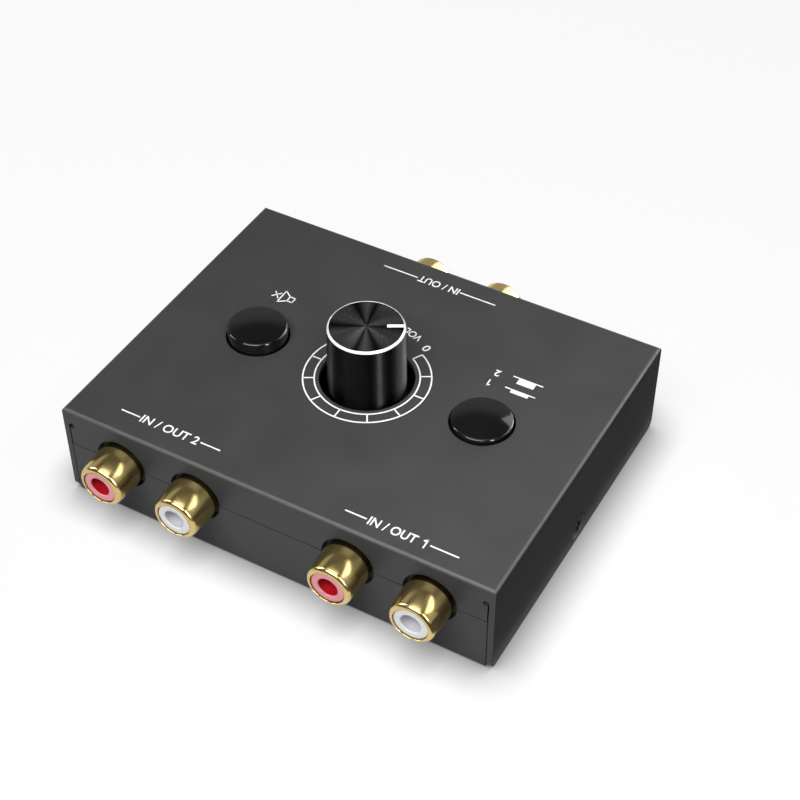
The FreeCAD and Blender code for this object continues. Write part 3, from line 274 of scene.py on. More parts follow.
def hoop(section):
    """A ring turned from a closed section: the radius and height of each of its corners."""
    piece = turn_through(section + section[:1], "NOTHING")
    bpy.ops.mesh.select_all(action="SELECT")
    bpy.ops.mesh.remove_doubles(threshold=MERGE)
    close_outwards()
    settle(piece)
    return piece


def quarter(centre_radius, centre_height, radius, start, end, steps=6):
    """Rings along a round edge, by the angle of each from the level."""
    rings = []
    for step in range(steps + 1):
        angle = math.radians(start + (end - start) * step / steps)
        rings.append((centre_radius + radius * math.cos(angle), centre_height + radius * math.sin(angle)))
    return rings


def polar(radius, angle):
    return (radius * math.cos(angle), radius * math.sin(angle))


def bar(start, end, width, height, thickness=PRINT_HEIGHT):
    """A flat bar from one point of a level plane to another, square at its ends."""
    deselect_all()
    along = Vector(end) - Vector(start)
    middle = (Vector(start) + Vector(end)) / 2
    bpy.ops.mesh.primitive_plane_add(size=1, location=(middle.x, middle.y, height),
                                     rotation=(0, 0, math.atan2(along.y, along.x)))
    piece = bpy.context.object
    piece.scale = (along.length, width, 1)
    settle(piece)
    edit_all()
    raise_up(thickness)
    close_outwards()
    return piece


def join(name, parts):
    deselect_all()
    for part in parts:
        part.select_set(True)
    bpy.context.view_layer.objects.active = parts[0]
    bpy.ops.object.join()
    parts[0].name = name
    return parts[0]


def dress(piece, name, body, slot, material, *stands_for):
    """Name a finished piece, give it its material and tie it to its body, where it is given one."""
    piece.name = name
    piece.data.name = name
    piece.data.materials.clear()
    piece.data.materials.append(material)
    if body:
        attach(piece, body)
    if stands_for:
        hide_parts(*stands_for)


# Nodes of a material or of the world, which is the owner here

def wire(owner, source, target):
    owner.node_tree.links.new(source, target)


def new_node(owner, kind, inputs=(), **settings):
    """A shader node. Each of its inputs is given as another node's output or as a plain value."""
    node = owner.node_tree.nodes.new("ShaderNode" + kind)
    for name, value in settings.items():
        setattr(node, name, value)
    for key, value in dict(inputs).items():
        if isinstance(value, bpy.types.NodeSocket):
            wire(owner, value, node.inputs[key])
        else:
            node.inputs[key].default_value = value
    return node


def calculate(owner, operation, *values):
    return new_node(owner, "Math", enumerate(values), operation=operation).outputs["Value"]


def map_range(owner, value, start, end, low, high, interpolation="LINEAR"):
    """A number that runs from low to high as the value runs from start to end."""
    inputs = {"Value": value, "From Min": start, "From Max": end, "To Min": low, "To Max": high}
    return new_node(owner, "MapRange", inputs, interpolation_type=interpolation).outputs["Result"]


def mix_colours(owner, share, first, second, blend="MIX"):
    inputs = {"Factor": share, "A": first, "B": second}
    return new_node(owner, "Mix", inputs, data_type="RGBA", blend_type=blend).outputs["Result"]


def mix_shaders(owner, share, first, second):
    return new_node(owner, "MixShader", {"Fac": share, 1: first, 2: second}).outputs["Shader"]


# Materials

def grey(level):
    return (level, level, level * 1.02)


def opaque(colour):
    return (*colour, 1)


def new_finish(name, roughness, metallic=0.0):
    """A material, its shader, and the place on the piece that its patterns follow."""
    material = bpy.data.materials.new(name)
    material.use_nodes = True
    shader = shader_of(material)
    shader.inputs["Roughness"].default_value = roughness
    shader.inputs["Metallic"].default_value = metallic
    return material, shader, new_node(material, "TexCoord").outputs["Object"]


def shader_of(material):
    return material.node_tree.nodes["Principled BSDF"]


def colour_of(material):
    """What makes the material's colour so far."""
    return shader_of(material).inputs["Base Color"].links[0].from_socket


def show(material, surface):
    wire(material, surface, material.node_tree.nodes["Material Output"].inputs["Surface"])


def noise(material, point, grain, detail=2.0):
    """Noise whose marks are about one grain across."""
    inputs = {"Vector": point, "Scale": 1 / grain, "Detail": detail}
    return new_node(material, "TexNoise", inputs).outputs["Fac"]


def between(material, share, low, high):
    """A number that runs from low to high as the noise runs through its middle."""
    return map_range(material, share, *NOISE_MIDDLE, low, high)


def tint(material, share, first, second):
    """A colour that runs from first to second as the noise runs through its middle."""
    ramp = new_node(material, "ValToRGB", {"Fac": share})
    for end, place, colour in zip(ramp.color_ramp.elements, NOISE_MIDDLE, (first, second)):
        end.position = place
        end.color = opaque(colour)
    return ramp.outputs["Color"]


def relief(material, shader, share, depth):
    bump = new_node(material, "Bump", {"Height": share, "Distance": depth, "Strength": 1.0})
    wire(material, bump.outputs["Normal"], shader.inputs["Normal"])


def mottled(name, first, second, patch, roughness, metallic=0.0, spread=0.05, grain=0.0, depth=0.0):
    """A finish whose colour and gloss change slowly from patch to patch, by the two colours and the spread of
    its roughness, with a fine grain of some depth where it has one."""
    material, shader, point = new_finish(name, roughness, metallic)
    slow = noise(material, point, patch)
    wire(material, tint(material, slow, first, second), shader.inputs["Base Color"])
    gloss = between(material, slow, roughness - spread, roughness + spread)
    wire(material, gloss, shader.inputs["Roughness"])
    if grain:
        relief(material, shader, noise(material, point, grain, detail=3.0), depth)
    return material


def turned_gloss(material, rotation=0.0):
    """Gloss that is drawn out as on metal turned round the upright axis."""
    shader = shader_of(material)
    shader.inputs["Anisotropic"].default_value = 1.0
    shader.inputs["Anisotropic Rotation"].default_value = rotation
    tangent = new_node(material, "Tangent", direction_type="RADIAL", axis="Z")
    wire(material, tangent.outputs["Tangent"], shader.inputs["Tangent"])


def round_the_axis(material, point, levels, start, repeats=1):
    """A grey by the angle round the upright axis: its level at the start of each repeat, then the others."""
    around = new_node(material, "TexGradient", {"Vector": point}, gradient_type="RADIAL").outputs["Fac"]
    share = calculate(material, "FRACT", calculate(material, "MULTIPLY", around, repeats))
    ramp = new_node(material, "ValToRGB", {"Fac": share})
    ramp.color_ramp.interpolation = "EASE"
    for end in ramp.color_ramp.elements:
        end.color = opaque(grey(start))
    for place, level in levels:
        ramp.color_ramp.elements.new(place).color = opaque(grey(level))
    return ramp.outputs["Color"]


def painted_fold_highlight(material, colour, surface):
    """The colour, lighter along the cover's top folds: a painted highlight on the edges."""
    facing = new_node(material, "VectorMath", {0: surface["Normal"]}, operation="ABSOLUTE")
    facing = new_node(material, "SeparateXYZ", {"Vector": facing.outputs["Vector"]}).outputs
    height = new_node(material, "SeparateXYZ", {"Vector": surface["Object"]}).outputs["Z"]
    to_side = calculate(material, "MULTIPLY", facing["X"], SIDE_FOLD_HIGHLIGHT)
    outwards = calculate(material, "ADD", facing["Y"], to_side)
    folded = calculate(material, "MINIMUM", outwards, facing["Z"])
    near_top = calculate(material, "GREATER_THAN", height, COVER_TOP - FOLD_HEIGHT)
    on_fold = calculate(material, "MULTIPLY", folded, near_top)
    share = calculate(material, "MULTIPLY", on_fold, FOLD_HIGHLIGHT_STRENGTH)
    return mix_colours(material, share, colour, opaque(grey(FOLD_HIGHLIGHT_GREY)))


def painted_screw_gap_shade(material, colour, surface):
    """The colour, with painted shade in the narrow gap round the head of each side screw."""
    middle = (SCREW_LOW + SCREW_HIGH) / 2
    head_radius = (SCREW_HIGH.z - SCREW_LOW.z) / 2
    place = new_node(material, "SeparateXYZ", {"Vector": surface["Object"]}).outputs
    across = new_node(material, "CombineXYZ", {"Y": place["Y"], "Z": place["Z"]}).outputs["Vector"]
    ends = {0: across, 1: (0, middle.y, middle.z)}
    from_axis = new_node(material, "VectorMath", ends, operation="DISTANCE").outputs["Value"]
    in_shaded_gap = calculate(material, "LESS_THAN", from_axis, head_radius + SCREW_GAP)
    return mix_colours(material, in_shaded_gap, colour, opaque(grey(SCREW_GAP_SHADE_GREY)))


def powder_coat():
    """Matt black with hardly any gloss and the faint orange peel of baked powder, with a painted highlight
    along the top folds and painted shade round the side screws' heads.
    """
    material = mottled("powder_coat", grey(0.039), grey(0.044), 9 * MM, 0.44, spread=0.03,
                       grain=0.28 * MM, depth=0.006 * MM)
    shader = shader_of(material)
    shader.inputs["Specular IOR Level"].default_value = 0.35
    surface = new_node(material, "TexCoord").outputs
    # painted highlight along the top folds
    colour = painted_fold_highlight(material, colour_of(material), surface)
    # painted shade round the side screws' heads
    wire(material, painted_screw_gap_shade(material, colour, surface), shader.inputs["Base Color"])
    return material


def spun_metal_with_painted_rays():
    """Fine turning marks round the middle of a flat face, with its gloss drawn out round the turn and rays of
    painted highlight in its colour.
    """
    material, shader, point = new_finish("spun_black_anodised", 0.22, metallic=1.0)
    turned_gloss(material)
    rings = new_node(material, "TexWave", {"Vector": point, "Scale": 1 / SPUN_PITCH, "Distortion": 0.4},
                     wave_type="RINGS", rings_direction="Z").outputs["Fac"]
    marks = tint(material, rings, grey(0.14), grey(0.19))
    # painted highlight: lighter and darker rays fixed round the face
    rays = round_the_axis(material, point, SPUN_RAY_HIGHLIGHTS, start=0.62, repeats=2)
    wire(material, mix_colours(material, 1.0, marks, rays, "MULTIPLY"), shader.inputs["Base Color"])
    relief(material, shader, rings, 0.004 * MM)
    return material


def turned_black_with_painted_streaks():
    """Black anodised metal turned round its axis, whose gloss is drawn out along the axis, with streaks of
    painted highlight along it in its colour.
    """
    material = mottled("black_anodised", grey(0.068), grey(0.084), 3 * MM, 0.34, metallic=1.0, spread=0.02)
    point = new_node(material, "TexCoord").outputs["Object"]
    # painted highlight: streaks fixed round the side
    painted_streaks = round_the_axis(material, point, SIDE_STREAK_HIGHLIGHTS, start=0.35)
    colour = mix_colours(material, 1.0, colour_of(material), painted_streaks, "MULTIPLY")
    wire(material, colour, shader_of(material).inputs["Base Color"])
    turned_gloss(material, rotation=0.25)
    return material


def gold_plate():
    """Bright gold, dull for the light that it sends on to the paint beside it."""
    material = mottled("gold_plate", (0.78, 0.59, 0.22), (0.84, 0.65, 0.28), 4 * MM, 0.2, metallic=1.0,
                       spread=0.03, grain=0.12 * MM, depth=0.0006 * MM)
    rays = new_node(material, "LightPath").outputs
    sent_on = calculate(material, "MAXIMUM", rays["Is Diffuse Ray"], rays["Is Glossy Ray"])
    dull = new_node(material, "BsdfDiffuse", {"Color": (0.26, 0.24, 0.20, 1)}).outputs["BSDF"]
    show(material, mix_shaders(material, sent_on, shader_of(material).outputs["BSDF"], dull))
    return material


# By the slot of each CAD node, and after them the finishes of pieces that are only in this model
FINISHES = {
    "case_paint": powder_coat(),
    "black_screw": mottled("black_oxide", grey(0.010), grey(0.016), 1 * MM, 0.3, spread=0.06,
                           grain=0.2 * MM, depth=0.004 * MM),
    "board_screw_steel": mottled("zinc_plate", (0.6, 0.6, 0.58), (0.7, 0.7, 0.7), 2 * MM, 0.3,
                                 metallic=1.0, spread=0.06),
    "board_laminate": mottled("solder_mask", (0.003, 0.010, 0.006), (0.004, 0.015, 0.008), 6 * MM, 0.4,
                              grain=0.5 * MM, depth=0.01 * MM),
    "spacer_brass": mottled("turned_brass", (0.55, 0.4, 0.14), (0.66, 0.5, 0.2), 2 * MM, 0.28, metallic=1.0),
    "gold_plate": gold_plate(),
    "housing_plastic": mottled("moulded_black", grey(0.012), grey(0.02), 3 * MM, 0.5,
                               grain=0.3 * MM, depth=0.01 * MM),
    "red_insert": mottled("moulded_red", (0.86, 0.34, 0.36), (0.90, 0.40, 0.42), 2 * MM, 0.3,
                          grain=0.3 * MM, depth=0.003 * MM),
    "white_insert": mottled("moulded_white", (0.90, 0.90, 0.90), (0.94, 0.94, 0.94), 2 * MM, 0.3,
                            grain=0.3 * MM, depth=0.003 * MM),
    "contact_brass": mottled("plated_contact", (0.6, 0.42, 0.15), (0.7, 0.52, 0.2), 1 * MM, 0.25,
                             metallic=1.0),
    "pot_plastic": mottled("moulded_green", (0.012, 0.06, 0.03), (0.02, 0.08, 0.04), 3 * MM, 0.45),
    "pot_metal": mottled("dark_zinc_casting", grey(0.05), grey(0.08), 2 * MM, 0.45, metallic=1.0, spread=0.06,
                         grain=0.2 * MM, depth=0.01 * MM),
    "shaft_aluminium": mottled("turned_aluminium", (0.7, 0.7, 0.71), (0.78, 0.78, 0.79), 2 * MM, 0.3,
                               metallic=1.0),
    "tinned_metal": mottled("tinned", (0.62, 0.62, 0.6), (0.72, 0.72, 0.7), 1 * MM, 0.35,
                            metallic=1.0, spread=0.06),
    "knob_black": turned_black_with_painted_streaks(),
    "knob_core_plastic": mottled("moulded_core", grey(0.02), grey(0.03), 2 * MM, 0.5),
    "button_gloss": mottled("gloss_black", grey(0.004), grey(0.006), 6 * MM, 0.09, spread=0.02),
    "plunger_plastic": mottled("moulded_ivory", (0.66, 0.65, 0.6), (0.72, 0.71, 0.67), 2 * MM, 0.45),
    "switch_plastic": mottled("moulded_switch", grey(0.015), grey(0.022), 2 * MM, 0.5),
    "spring_steel": mottled("drawn_wire", (0.5, 0.5, 0.5), (0.6, 0.6, 0.6), 1 * MM, 0.3, metallic=1.0),
}
# The gold shell's flange in painted shade: dull black for the shadow in the gap behind the case wall
SHADED_FLANGE = mottled("dark_flange", grey(0.012), grey(0.018), 2 * MM, 0.5)
# The inserts' plastic darker in the throats: painted shade inside the hole
RED_THROAT_SHADED = mottled("moulded_red_throat", (0.42, 0.004, 0.010), (0.50, 0.006, 0.016), 1 * MM, 0.35)
WHITE_THROAT_SHADED = mottled("moulded_white_throat", (0.60, 0.59, 0.64), (0.66, 0.65, 0.70), 1 * MM, 0.35)
BRIGHT_CUT = mottled("bright_cut_edge", (0.92, 0.92, 0.92), (0.96, 0.96, 0.96), 2 * MM, 0.3,
                     metallic=0.2, spread=0.04)
WHITE_PRINT = mottled("white_print", (0.92, 0.92, 0.92), (0.96, 0.96, 0.96), 1 * MM, 0.5)
SPUN_METAL_PAINTED_RAYS = spun_metal_with_painted_rays()


# The CAD nodes

def dress_frame_nodes():
    """Each node comes with a plain material that has its slot's name."""
    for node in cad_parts.values():
        for place in node.material_slots:
            place.material = FINISHES[place.material.name.split(".")[0]]


# The knob

def add_knob():
    """The turned skirt, the bright-cut edge round its top, the spun face inside that, and its pointer."""
    foot, top = KNOB_LOW.z, KNOB_HIGH.z
    edge_foot = top - BRIGHT_EDGE_HEIGHT
    face_radius = KNOB_TOP_RADIUS - BRIGHT_EDGE_WIDTH
    face = top - FACE_DROP
    skirt = turned([(KNOB_CAVITY, top - KNOB_CROWN), (KNOB_CAVITY, foot),
                    (KNOB_RADIUS - KNOB_FOOT_BEVEL, foot), (KNOB_RADIUS, foot + KNOB_FOOT_BEVEL),
                    (KNOB_TOP_RADIUS, edge_foot), (face_radius, edge_foot)])
    smooth(skirt)
    dress(skirt, "knob_skirt", "knob", "knob_black", FINISHES["knob_black"], "volume_knob")
    edge = hoop([(face_radius - 3 * SEAM, edge_foot), (KNOB_TOP_RADIUS, edge_foot),
                 (KNOB_TOP_RADIUS - 2 * SEAM, edge_foot + 4 * SEAM), (face_radius + 2 * SEAM, top),
                 (face_radius - SEAM, top - 3 * SEAM)])
    smooth(edge)
    dress(edge, "knob_bright_edge", "knob", "knob_black", BRIGHT_CUT)
    disc_radius = face_radius - 2 * SEAM
    disc = turned([(disc_radius, edge_foot + 2 * SEAM), (disc_radius, face), (FACE_PIT, face),
                   (FACE_PIT_FLOOR, face - FACE_PIT_DEPTH)])
    smooth(disc)
    dress(disc, "knob_spun_face", "knob", "knob_black", SPUN_METAL_PAINTED_RAYS)
    pointer = bar(polar(POINTER_START, POINTER_TURN), polar(POINTER_END, POINTER_TURN), POINTER_WIDTH,
                  face - SEAM, POINTER_THICKNESS)
    dress(pointer, "knob_pointer_line", "knob", "knob_black", WHITE_PRINT)


# The buttons

def dome_drop(radius):
    """How far a cap's dome lies below its top, by the distance from its middle."""
    return CAP_DOME - math.sqrt(CAP_DOME ** 2 - radius ** 2)


def add_cap(name, node, body):
    """A hollow cap with a round edge and a slightly domed top."""
    low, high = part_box(node)
    middle = (low + high) / 2
    dome_radius = CAP_RADIUS - CAP_EDGE
    cavity_radius = CAP_RADIUS - CAP_WALL
    rings = [(cavity_radius, high.z - CAP_ROOF - CAP_EDGE), (cavity_radius, low.z),
             (CAP_RADIUS - CAP_FOOT_BEVEL, low.z), (CAP_RADIUS, low.z + CAP_FOOT_BEVEL)]
    rings += quarter(dome_radius, high.z - dome_drop(dome_radius) - CAP_EDGE, CAP_EDGE, 0, CAP_EDGE_TURN)
    rings += [(dome_radius * share, high.z - dome_drop(dome_radius * share)) for share in DOME_RINGS]
    cap = turned(rings)
    smooth(cap)
    put(cap, (middle.x, middle.y, 0))
    dress(cap, name, body, "button_gloss", FINISHES["button_gloss"], node)


# The return springs

def add_spring(name, node):
    """A coil between the housing's floor and its seat."""
    low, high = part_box(node)
    middle = (low + high) / 2
    coil_radius = (high.x - low.x - SPRING_WIRE) / 2
    deselect_all()
    bpy.ops.mesh.primitive_circle_add(vertices=SPRING_WIRE_SIDES, radius=SPRING_WIRE / 2, fill_type="NOTHING",
                                      location=(coil_radius, 0, low.z + SPRING_WIRE / 2),
                                      rotation=(math.pi / 2, 0, 0))
    spring = bpy.context.object
    settle(spring)
    bpy.ops.object.modifier_add(type="SCREW")
    screw = spring.modifiers[0]
    screw.axis = "Z"
    screw.iterations = SPRING_TURNS
    screw.screw_offset = (high.z - low.z - SPRING_WIRE) / SPRING_TURNS
    screw.steps = SPRING_STEPS
    screw.render_steps = SPRING_STEPS
    bpy.ops.object.modifier_apply(modifier=screw.name)
    edit_all()
    bpy.ops.mesh.fill_holes(sides=0)
    close_outwards()
    smooth(spring, angle=60)
    put(spring, (middle.x, middle.y, 0))
    dress(spring, name, None, "spring_steel", FINISHES["spring_steel"], node)
    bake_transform(spring)


# The sockets

def add_shell(place, turn):
    """A drawn tube with a soft mouth, and a neck that goes through the case wall."""
    neck = [(SHELL_BORE, -SHELL_TAIL), (SHELL_NECK, -SHELL_TAIL), (SHELL_NECK, NECK_PLACE),
            (SHELL_RADIUS - SHOULDER_BEVEL, NECK_PLACE), (SHELL_RADIUS, NECK_PLACE + SHOULDER_BEVEL)]
    crown = []
    for step in range(CROWN_STEPS):
        share = step / CROWN_STEPS
        crown.append((SHELL_RADIUS - SHELL_CROWN * share ** 2,
                      SHELL_REACH - LIP - CROWN_LENGTH * (1 - share)))
    mouth = quarter(SHELL_RADIUS - SHELL_CROWN - LIP, SHELL_REACH - LIP, LIP, 8, 90, steps=10)
    inner = quarter(SHELL_BORE + BORE_EDGE, SHELL_REACH - BORE_EDGE, BORE_EDGE, 90, 180, steps=3)
    shell = hoop(neck + crown + mouth + inner)
    smooth(shell)
    put(shell, place, turn)
    return shell


def add_flange(place, turn):
    """The ring on the neck, behind the case wall, in painted shade for the shadow in the gap round the neck.
    """
    bore = SHELL_NECK + SEAM
    flange = hoop([(bore, -FLANGE_BACK), (FLANGE_RADIUS, -FLANGE_BACK), (FLANGE_RADIUS, -FLANGE_FRONT),
                   (bore, -FLANGE_FRONT)])
    put(flange, place, turn)
    return flange


def add_tab(foot, place, turn):
    """The shell's tab, down to below the board, as a bar with bevelled edges."""
    deselect_all()
    root = -(SHELL_BORE + SHELL_NECK) / 2
    bpy.ops.mesh.primitive_cube_add(size=1, location=(0, 0, 0))
    tab = bpy.context.object
    tab.scale = (TAB_WIDTH, place.z + root - foot, TAB_THICKNESS)
    settle(tab)
    edit_all()
    bpy.ops.mesh.bevel(offset=TAB_BEVEL, segments=2)
    close_mesh()
    middle = (root - (place.z - foot)) / 2
    put(tab, (0, middle if turn[0] > 0 else -middle, -TAB_PLACE))
    put(tab, place, turn)
    return tab


def add_insert(place, turn):
    """The insert's face and outer wall, with the throat that takes the plug's pin, whose wall is the insert's
    plastic darkened as painted shade.
    """
    face = SHELL_REACH - INSERT_RECESS
    edge = quarter(INSERT_RADIUS - INSERT_EDGE, face - INSERT_EDGE, INSERT_EDGE, 0, 90, steps=5)
    rim = quarter(THROAT_RADIUS + THROAT_EDGE, face - THROAT_EDGE, THROAT_EDGE, 90, 180, steps=4)
    insert = hoop([(THROAT_RADIUS, -INSERT_BACK), (INSERT_RADIUS, -INSERT_BACK)] + edge + rim)
    smooth(insert)
    put(insert, place, turn)
    outer, inner = THROAT_RADIUS + SEAM, THROAT_RADIUS - 3 * SEAM
    mouth, seat = face - THROAT_EDGE * 1.5, face - CONTACT_DEPTH
    throat = hoop([(CONTACT_SEAT, seat), (outer, seat), (outer, mouth), (inner, mouth - 3 * SEAM),
                   (inner, seat + THROAT_FLOOR)])
    smooth(throat)
    put(throat, place, turn)
    return insert, throat


def add_sockets():
    """Red for the right channel and white for the left, with the front four facing -Y and the back two +Y."""
    for name in FRONT_SOCKETS + BACK_SOCKETS:
        front = name in FRONT_SOCKETS
        low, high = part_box(f"{name}_jack_insert")
        middle = (low + high) / 2
        place = Vector((middle.x, FRONT_FACE if front else BACK_FACE, middle.z))
        turn = (math.radians(90 if front else -90), 0, 0)
        shell = add_shell(place, turn)
        tab = add_tab(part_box(f"{name}_jack_shell")[0].z, place, turn)
        shell = join(f"{name}_shell", [shell, tab])
        dress(shell, f"{name}_shell", "case", "gold_plate", FINISHES["gold_plate"], f"{name}_jack_shell")
        dress(add_flange(place, turn), f"{name}_flange", "case", "gold_plate", SHADED_FLANGE)
        red = "right" in name
        colour = "red_insert" if red else "white_insert"
        insert, throat = add_insert(place, turn)
        dress(insert, f"{name}_insert", "case", colour, FINISHES[colour], f"{name}_jack_insert")
        dress(throat, f"{name}_throat", "case", colour, RED_THROAT_SHADED if red else WHITE_THROAT_SHADED)


# The print on the cover

def ring_line(radius, start, turn, width):
    """A thin flat line on the cover along a part of a circle about the knob's axis."""
    deselect_all()
    bpy.ops.mesh.primitive_plane_add(size=width, location=(radius, width / 2, COVER_TOP))
    piece = bpy.context.object
    settle(piece)
    bpy.ops.object.mode_set(mode="EDIT")
    bpy.ops.mesh.select_all(action="DESELECT")
    close_mesh()
    for vertex in piece.data.vertices:
        vertex.select = vertex.co.y > width / 2
    bpy.ops.object.mode_set(mode="EDIT")
    bpy.ops.mesh.delete(type="VERT")
    bpy.ops.mesh.select_all(action="SELECT")
    bpy.ops.mesh.spin(steps=DIAL_SIDES, angle=-turn, center=(0, 0, COVER_TOP), axis=(0, 0, 1))
    bpy.ops.mesh.select_all(action="SELECT")
    raise_up(PRINT_HEIGHT)
    close_outwards()
    put(piece, (0, 0, 0), (0, 0, start))
    return piece


def lettering(words, width, height, middle, turn=0.0):
    """Print of the words, as wide and high as given, about its middle on the cover."""
    deselect_all()
    bpy.ops.object.text_add(location=(0, 0, 0))
    text = bpy.context.object
    text.data.body = words
    text.data.resolution_u = LETTER_STEPS
    text.data.extrude = 0.5
    text.data.offset = LETTER_WEIGHT
    bpy.ops.object.convert(target="MESH")
    piece = bpy.context.object
    bpy.ops.object.origin_set(type="ORIGIN_GEOMETRY", center="BOUNDS")
    piece.scale = (width / piece.dimensions.x, height / piece.dimensions.y, PRINT_HEIGHT)
    put(piece, (*middle, COVER_TOP + PRINT_HEIGHT / 2), (0, 0, turn))
    edit_all()
    bpy.ops.mesh.remove_doubles(threshold=LETTER_MERGE)
    close_mesh()
    return piece


def strokes(points, width, closed=False):
    """Printed lines from point to point, with each end run past its corner by just under half the line."""
    ends = points[1:] + points[:1] if closed else points[1:]
    lines = []
    for start, end in zip(points, ends):
        overrun = (Vector(end) - Vector(start)).normalized() * (width * LINE_OVERRUN)
        lines.append(bar(Vector(start) - overrun, Vector(end) + overrun, width, COVER_TOP))
    return lines


def figure_one(middle, height, turn=0.0):
    """The figure 1 as a stem and its flag."""
    line = FIGURE_LINE * height
    foot = Vector((FIGURE_STEM, -0.5)) * height
    top = Vector((FIGURE_STEM, 0.5)) * height - Vector((0, line / 2))
    parts = strokes([foot, top], line) + strokes([top, top + Vector(FIGURE_FLAG) * height], line)
    for part in parts:
        put(part, (*middle, 0), (0, 0, turn))
    return parts


def add_print(name, parts):
    dress(join(name, parts), name, "case", "case_paint", WHITE_PRINT)


def add_dial_print():
    parts = [ring_line(radius, DIAL_START, DIAL_TURN, PRINT_LINE) for radius in (DIAL_INNER, DIAL_OUTER)]
    for step in range(DIAL_STEPS + 1):
        angle = DIAL_START + DIAL_TURN * step / DIAL_STEPS
        parts.append(bar(polar(DIAL_INNER, angle), polar(DIAL_OUTER, angle), PRINT_LINE, COVER_TOP))
    parts.append(lettering("0", *mm(1.15, 1.6), mm(5.2, 11.1), math.radians(155)))
    add_print("dial_print", parts)
    add_print("volume_print", [lettering("VOL", *mm(3.7, 1.5), mm(1.5, 13.1), math.radians(165))])


def port_print(words, size, middle, dashes, turn=0.0):
    """The words for a pair of sockets, and the dash on each side of them, as the x of its two ends."""
    parts = []
    for start, end in dashes:
        parts += strokes([(start, middle[1]), (end, middle[1])], PRINT_LINE)
    parts.append(lettering(words, *size, middle, turn))
    return parts


def add_socket_print():
    left = port_print("IN / OUT 2", mm(11.1, 1.75), mm(-21.6, -26.4), (mm(-31.1, -27.6), mm(-15.5, -12.0)))
    add_print("source_2_print", left)
    right = port_print("IN / OUT", mm(8.4, 1.75), mm(20.55, -27.6), (mm(12.2, 15.8), mm(27.2, 31.9)))
    right += figure_one(mm(26.1, -27.6), 1.75 * MM)
    add_print("source_1_print", right)
    back = port_print("IN / OUT", mm(8.0, 1.65), mm(-0.9, 26.8), (mm(-11.9, -5.3), mm(3.5, 10.2)), math.pi)
    add_print("common_print", back)


def add_button_print():
    """A crossed-out speaker, then a button standing out and one pressed in, with their sources' figures."""
    cross = strokes([mm(-25.1, 9.95), mm(-23.95, 11.25)], FINE_LINE)
    cross += strokes([mm(-25.1, 11.25), mm(-23.95, 9.95)], FINE_LINE)
    cone = strokes([mm(-23.5, 12.2), mm(-22.1, 11.2), mm(-21.05, 11.2), mm(-21.05, 10.0), mm(-22.1, 10.0),
                    mm(-23.5, 9.0)], FINE_LINE, closed=True)
    cone += strokes([mm(-22.1, 11.15), mm(-22.1, 10.05)], FINE_LINE)
    add_print("mute_print", cross + cone)
    out_mark = strokes([mm(21.3, 12.2), mm(26.6, 12.2)], FINE_LINE)
    out_mark.append(bar(mm(22.4, 11.45), mm(25.5, 11.45), 1.3 * MM, COVER_TOP))
    in_mark = strokes([mm(21.3, 9.17), mm(26.6, 9.17)], FINE_LINE)
    in_mark.append(bar(mm(22.4, 8.75), mm(25.6, 8.75), 0.7 * MM, COVER_TOP))
    figures = [lettering("2", *mm(1.0, 1.5), mm(18.55, 11.5), math.pi)]
    figures += figure_one(mm(18.4, 8.75), 1.5 * MM, math.pi)
    add_print("source_print", out_mark + in_mark + figures)


dress_frame_nodes()
add_knob()
add_cap("mute_cap", "mute_button_cap", "mute_button")
add_cap("source_cap", "source_button_cap", "source_button")
add_spring("mute_return_spring", "mute_switch_spring")
add_spring("source_return_spring", "source_switch_spring")
add_sockets()
add_dial_print()
add_socket_print()
add_button_print()


# The studio

def floor_finish():
    """White for the camera, darker close to the object, and grey for the light that it sends back. In gloss
    it is half as white, and black to the right of the card's edge."""
    material, shader, point = new_finish("floor_white", 0.9)
    shader.inputs["Specular IOR Level"].default_value = 0.0
    rays = new_node(material, "LightPath").outputs
    seen = calculate(material, "MULTIPLY_ADD", rays["Is Glossy Ray"], FLOOR_GLOSS, rays["Is Camera Ray"])
    colour = mix_colours(material, seen, opaque((FLOOR_GREY,) * 3), opaque((FLOOR_WHITE,) * 3))
    wire(material, colour, shader.inputs["Base Color"])
    clear = new_node(material, "AmbientOcclusion", {"Distance": SHADOW_REACH}, samples=16).outputs["AO"]
    strength = calculate(material, "POWER", clear, SHADOW_POWER)
    glow = new_node(material, "Emission", {"Strength": strength}).outputs["Emission"]
    glow_share = calculate(material, "MULTIPLY", seen, FLOOR_GLOW)
    white = mix_shaders(material, glow_share, shader.outputs["BSDF"], glow)
    across = new_node(material, "SeparateXYZ", {"Vector": point}).outputs["X"]
    beyond = calculate(material, "GREATER_THAN", across, CARD_EDGE)
    card_share = calculate(material, "MULTIPLY", beyond, rays["Is Glossy Ray"])
    black = new_node(material, "BsdfDiffuse", {"Color": opaque((CARD_BLACK,) * 3)}).outputs["BSDF"]
    show(material, mix_shaders(material, card_share, white, black))
    return material


def add_floor():
    deselect_all()
    bpy.ops.mesh.primitive_plane_add(size=FLOOR_SIZE, location=(0, 0, 0))
    floor = bpy.context.object
    floor.name = "floor"
    floor.data.materials.append(floor_finish())


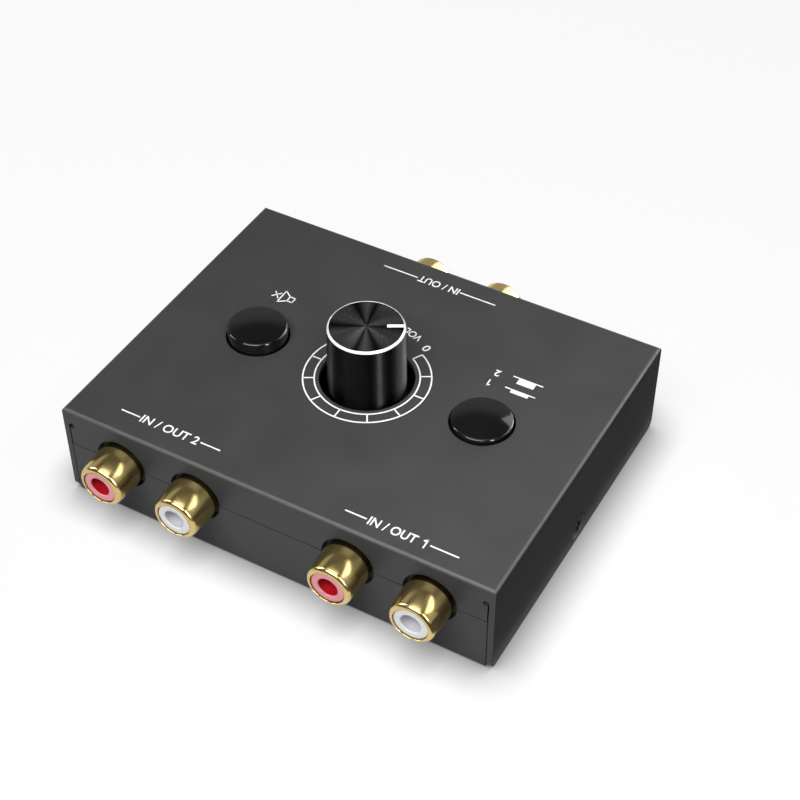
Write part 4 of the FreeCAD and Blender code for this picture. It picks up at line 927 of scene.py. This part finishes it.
def add_world():
    """White behind the object; in gloss a bright wall round a dim ceiling; a little light from all round."""
    world = bpy.data.worlds.new("white_studio")
    bpy.context.scene.world = world
    world.use_nodes = True
    rays = new_node(world, "LightPath").outputs
    direction = new_node(world, "TexCoord").outputs["Generated"]
    height = new_node(world, "SeparateXYZ", {"Vector": direction}).outputs["Z"]
    below_ceiling = map_range(world, height, *WALL_TOP, 1.0, 0.0, "SMOOTHSTEP")
    nearness = new_node(world, "VectorMath", {0: direction, 1: WALL_MIDDLE}, operation="DOT_PRODUCT")
    within_ends = map_range(world, nearness.outputs["Value"], *WALL_ENDS, 0.0, 1.0, "SMOOTHSTEP")
    wall = calculate(world, "MULTIPLY", below_ceiling, within_ends)
    gloss = map_range(world, wall, 0.0, 1.0, CEILING_GLOSS - WORLD_LIGHT, WALL_GLOSS - WORLD_LIGHT)
    light = calculate(world, "MULTIPLY_ADD", rays["Is Glossy Ray"], gloss, WORLD_LIGHT)
    seen = calculate(world, "MAXIMUM", rays["Is Camera Ray"], rays["Is Transmission Ray"])
    background = world.node_tree.nodes["Background"]
    background.inputs["Color"].default_value = (1, 1, 1, 1)
    wire(world, calculate(world, "MAXIMUM", seen, light), background.inputs["Strength"])


def add_lamp(name, place, size, power, aim=(0, 0, 0), matt=True, gloss=True):
    """A soft rectangle of light, for matt surfaces, for gloss or for both."""
    bpy.ops.object.light_add(type="AREA", location=place)
    lamp = bpy.context.object
    lamp.name = name
    lamp.data.shape = "RECTANGLE"
    lamp.data.size, lamp.data.size_y = size
    lamp.data.energy = power
    lamp.visible_diffuse = matt
    lamp.visible_glossy = gloss
    lamp.rotation_euler = (Vector(aim) - Vector(place)).to_track_quat("-Z", "Y").to_euler()


def add_camera():
    """It looks at a point inside the case, a little behind the knob."""
    back = Vector((math.sin(CAMERA_AZIMUTH) * math.cos(CAMERA_ELEVATION),
                   -math.cos(CAMERA_AZIMUTH) * math.cos(CAMERA_ELEVATION), math.sin(CAMERA_ELEVATION)))
    bpy.ops.object.camera_add(location=CAMERA_TARGET + back * CAMERA_DISTANCE)
    camera = bpy.context.object
    camera.rotation_euler = (-back).to_track_quat("-Z", "Y").to_euler()
    camera.data.lens = CAMERA_LENS
    camera.data.sensor_width = CAMERA_SENSOR
    camera.data.clip_start, camera.data.clip_end = CAMERA_CLIP
    bpy.context.scene.camera = camera


add_floor()
add_world()
# Places and sizes in metres, and power in watts
add_lamp("key_softbox", (0, -0.58, 0.82), (0.8, 0.5), 10.0)
add_lamp("top_fill", (0.034, -0.024, 0.10), (0.03, 0.03), 0.045, aim=(0.034, -0.024, 0), gloss=False)
add_lamp("overhead_softbox", (0, 0.10, 1.0), (0.9, 0.16), 1.8, matt=False)
add_lamp("back_softbox", (0.33, 0.50, 0.33), (0.8, 0.6), 4.2, matt=False)
add_lamp("low_back_strip", (0.33, 0.50, 0.10), (0.25, 0.15), 1.6, matt=False)
add_lamp("left_strip", (-0.66, -0.12, 0.45), (0.12, 0.4), 1.8, matt=False)
add_lamp("right_strip", (0.66, -0.33, 0.40), (0.12, 0.5), 3.6, matt=False)
add_camera()

bpy.context.scene.view_settings.view_transform = "Standard"
